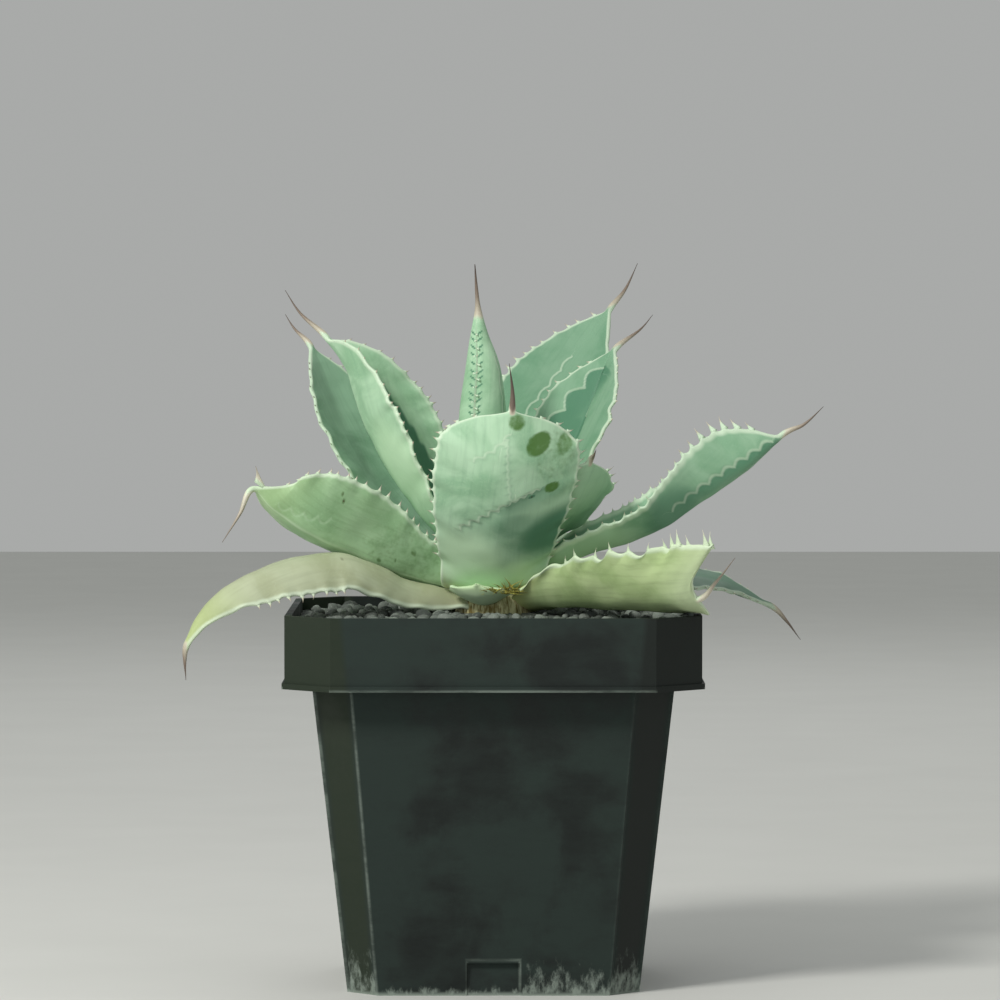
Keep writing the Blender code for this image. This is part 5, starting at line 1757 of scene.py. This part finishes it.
@dataclass(frozen=True)
class GritTopping:
    """The heaped bed of grit with loose pebbles of all sizes on it. All in mm."""

    outline: PotOutline = field(default_factory=PotOutline)
    clearance: float = 0.3
    bottom: float = 108.3
    edge_top: float = 116.6
    crown_top: float = 119.2
    stem_radius: float = 12.4
    pebbles: int = 560
    tries: int = 16000
    sizes: tuple[float, float] = (0.9, 3.0)
    shape: tuple[float, float, float] = (1.15, 0.92, 0.74)
    small_bias: float = 1.6         # above 1, small pebbles are commoner
    room: tuple[float, float] = (1.0, 2.0)              # kept free at the walls and the stem, and at the corners
    corner_share: float = 1.2       # of its radius by which a pebble stays off a corner's wall, beyond that
    packing: float = 0.8            # how near two pebbles' middles may lie, in their radii
    leaf_room: float = 2.0          # kept free under a leaf
    leaf_share: float = 0.7         # share of a leaf's half width that counts for that
    lump_count: int = 6             # on each pebble
    lump_sizes: tuple[float, float] = (-0.22, 0.1)
    tilt: float = 0.5               # radians
    perch: float = 0.12             # how far a pebble's middle lies over the bed, in its radii
    shades: tuple[float, float] = (0.35, 0.75)          # lightest of the bed and of the pebbles
    border_points: int = 160
    bed_rings: int = 44
    bed_hole: float = 0.08          # share of the bed's width at its innermost ring
    bed_sunk: float = 0.4           # how far the bed lies below the pebbles' level
    lump: float = 0.35              # unevenness of its top
    full_size: float = 1.3          # pebbles up to this radius may lie under a leaf
    sunk_share: float = 0.6         # of its radius by which such a pebble sinks in

    def level(self, reach: float | np.ndarray) -> float | np.ndarray:
        """Height of the bed at a distance, or an array of them, from the stem."""
        share = np.minimum(reach / (self.outline.rim_width / 2), 1.0)
        return self.crown_top + (self.edge_top - self.crown_top) * share

    def bed(self) -> np.ndarray:
        """The bed: a closed body with a lumpy top.

        Returns:
            Its rings, from the underside's border up and inwards over the top.
        """
        rng = random.Random(SEED)
        width = self.outline.rim_width - 2 * (self.outline.wall + self.clearance)
        flat = self.outline.rim_flat - 2 * (self.outline.wall + self.clearance) * self.outline.mitre
        outline = np.array(self.outline.ring(0.0, width, flat, self.outline.band_step))[:, :2]
        closed = np.vstack([outline, outline[:1]])
        along = lengths_along(closed)
        want = np.linspace(0, along[-1], self.border_points + 1)[:-1]
        border = np.stack([np.interp(want, along, closed[:, k]) for k in range(2)], 1)
        shares = np.concatenate([[1.0], np.linspace(1.0, self.bed_hole, self.bed_rings)])
        rows = []
        for number, share in enumerate(shares):
            xy = border * share
            z = np.full(len(xy), self.bottom)
            if number:
                lumps = np.array([rng.uniform(-self.lump, self.lump) for _ in xy])
                z = self.level(np.hypot(*xy.T)) + lumps - self.bed_sunk
            rows.append(np.column_stack([xy, z]))
        return np.array(rows)

    def places(self, rng: random.Random) -> list[tuple[float, float, float, float]]:
        """Free places for pebbles, clear of the stem, the walls and the low leaves.

        Args:
            rng: Random numbers.

        Returns:
            X, Y, radius and bed height of each.
        """
        undersides = []
        for leaf in LEAVES:
            keel = np.array(leaf.keel, float)
            for a, b in zip(keel, keel[1:]):
                undersides += [(*(a + (b - a) * k / 4), leaf.half_width) for k in range(4)]
        room, corner_room = self.room
        half = self.outline.rim_width / 2 - self.outline.wall - room
        corner = ((self.outline.rim_width + self.outline.rim_flat) / 2
                  - math.sqrt(2) * (self.outline.wall + corner_room))
        placed = []
        for _ in range(self.tries):
            radius = self.sizes[0] + (self.sizes[1] - self.sizes[0]) * rng.random() ** self.small_bias
            x, y = rng.uniform(-half + radius, half - radius), rng.uniform(-half + radius, half - radius)
            reach = math.hypot(x, y)
            if reach < self.stem_radius + room or abs(x) + abs(y) > corner - radius * self.corner_share:
                continue
            if any((x - px) ** 2 + (y - py) ** 2 < (self.packing * (radius + pr)) ** 2
                   for px, py, pr, _ in placed):
                continue
            level = float(self.level(reach))
            if any(z < level + radius + self.leaf_room
                   and math.hypot(px - x, py - y) < wide * self.leaf_share + radius
                   for px, py, z, wide in undersides):
                if radius > self.full_size:
                    continue
                level -= radius * self.sunk_share
            placed.append((x, y, radius, level))
            if len(placed) == self.pebbles:
                break
        return placed

    def build(self) -> None:
        """Adds the bed and its pebbles in place of the CAD node."""
        finish = MineralGrit("Quarry grit, grey and dusty", 0.92, 1.5).build()
        rings = self.bed()
        bed_light, stone_light = self.shades
        shades = np.array([random.Random(k).uniform(0.0, bed_light) for k in range(rings[..., 0].size)])
        bed = RingMesh()
        bed.add(rings, shade=shades.reshape(*rings.shape[:2], 1))
        bed.build("grit_bed", finish, Slot.GRIT, "grit")
        rng = random.Random(SEED)
        bm = bmesh.new()
        layer = bm.verts.layers.float.new("shade")
        for x, y, radius, level in self.places(rng):
            stone = bmesh.ops.create_icosphere(bm, subdivisions=2, radius=radius)["verts"]
            shade = rng.uniform(0.0, stone_light)
            lumps = [(Vector([rng.gauss(0, 1) for _ in range(3)]).normalized(), rng.uniform(*self.lump_sizes))
                     for _ in range(self.lump_count)]
            for vert in stone:
                way = vert.co.normalized()
                vert.co *= 1 + sum(size * max(way.dot(lump), 0) ** 3 for lump, size in lumps)
                vert[layer] = shade
            bmesh.ops.scale(bm, vec=self.shape, verts=stone)
            tilt = Euler((rng.uniform(-self.tilt, self.tilt), rng.uniform(-self.tilt, self.tilt),
                          rng.uniform(0, math.tau)))
            bmesh.ops.rotate(bm, cent=(0, 0, 0), matrix=tilt.to_matrix(), verts=stone)
            bmesh.ops.translate(bm, vec=(x, y, level + radius * self.perch), verts=stone)
        points = np.array([vert.co[:] for vert in bm.verts])
        shades = np.array([vert[layer] for vert in bm.verts])
        faces = [tuple(vert.index for vert in face.verts) for face in bm.faces]
        bm.free()
        add_piece("grit_pebbles", points, faces, finish, Slot.GRIT, "grit", marks={"shade": shades})
        dress_node("soil", MineralGrit("Peat and bark potting mix", 0.95, 1.45, dark="#241D16", light="#4A3D2E",
                                       speckle="#7A6A52", speckle_size=1.6).build())


# Studio

@dataclass(frozen=True)
class Lamp:
    """A square soft light: where it hangs and its side in metres, its power in watts and its colour."""

    name: str
    place: tuple[float, float, float]
    size: float
    power: float
    colour: str

    def build(self, aim: tuple[float, float, float]) -> None:
        """Adds the light.

        Args:
            aim: The point that it shines at.
        """
        lamp = bpy.data.lights.new(self.name, "AREA")
        lamp.size, lamp.energy, lamp.color = self.size, self.power, linear(self.colour)[:3]
        holder = add_object(self.name, lamp)
        holder.location = self.place
        holder.rotation_euler = (Vector(aim) - Vector(self.place)).to_track_quat("-Z", "Y").to_euler()


@dataclass(frozen=True)
class Studio:
    """Plain pale floor, soft light from the upper left, long lens level with the plant. Metres and degrees."""

    camera_place: tuple[float, float, float] = (0.0021, -1.800, 0.2205)
    camera_pitch: float = 2.1       # looking down
    focal_length: float = 201.3     # mm, as is the next
    sensor: float = 36.0
    clip: tuple[float, float] = (0.05, 20.0)
    aim: tuple[float, float, float] = (0.0, 0.0, 0.14)
    floor_size: float = 6.0
    surroundings: str = "#E6E8E6"
    surroundings_strength: float = 0.5
    lamps: tuple[Lamp, ...] = (
        Lamp("key", (-0.7, -0.86, 1.02), 0.3, 13.8, "#FFFDF8"),
        Lamp("fill", (-0.55, -1.45, 0.34), 0.5, 2.2, "#F4FAFF"),
        Lamp("back", (0.1, 1.3, 1.2), 0.9, 3.6, "#FFFFFF"),
    )

    def build(self) -> None:
        """Adds the floor, the lights, the surroundings and the camera."""
        scene = bpy.context.scene
        bm = bmesh.new()
        bmesh.ops.create_grid(bm, x_segments=1, y_segments=1, size=self.floor_size / 2)
        floor = add_object("floor", mesh_from("floor", bm))
        floor.data.materials.append(StudioCard("White card, matt", 0.9).build())

        for lamp in self.lamps:
            lamp.build(self.aim)
        world = bpy.data.worlds.new("studio")
        world.use_nodes = True
        sky = world.node_tree.nodes["Background"].inputs
        feed(sky["Color"], self.surroundings)
        feed(sky["Strength"], self.surroundings_strength)
        scene.world = world

        lens = bpy.data.cameras.new("camera")
        lens.lens, lens.sensor_width = self.focal_length, self.sensor
        lens.clip_start, lens.clip_end = self.clip
        camera = add_object("camera", lens)
        camera.location = self.camera_place
        camera.rotation_euler = (math.radians(90 - self.camera_pitch), 0.0, 0.0)
        scene.camera = camera
        scene.view_settings.view_transform = "Standard"
        LOG.info("studio ready")


def main() -> None:
    """Builds the potted agave and its studio."""
    logging.basicConfig(level=logging.INFO, format="%(message)s")
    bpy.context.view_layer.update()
    Studio().build()
    NurseryPot().build()
    GritTopping().build()
    Rosette().build()


if __name__ == "__main__":
    main()
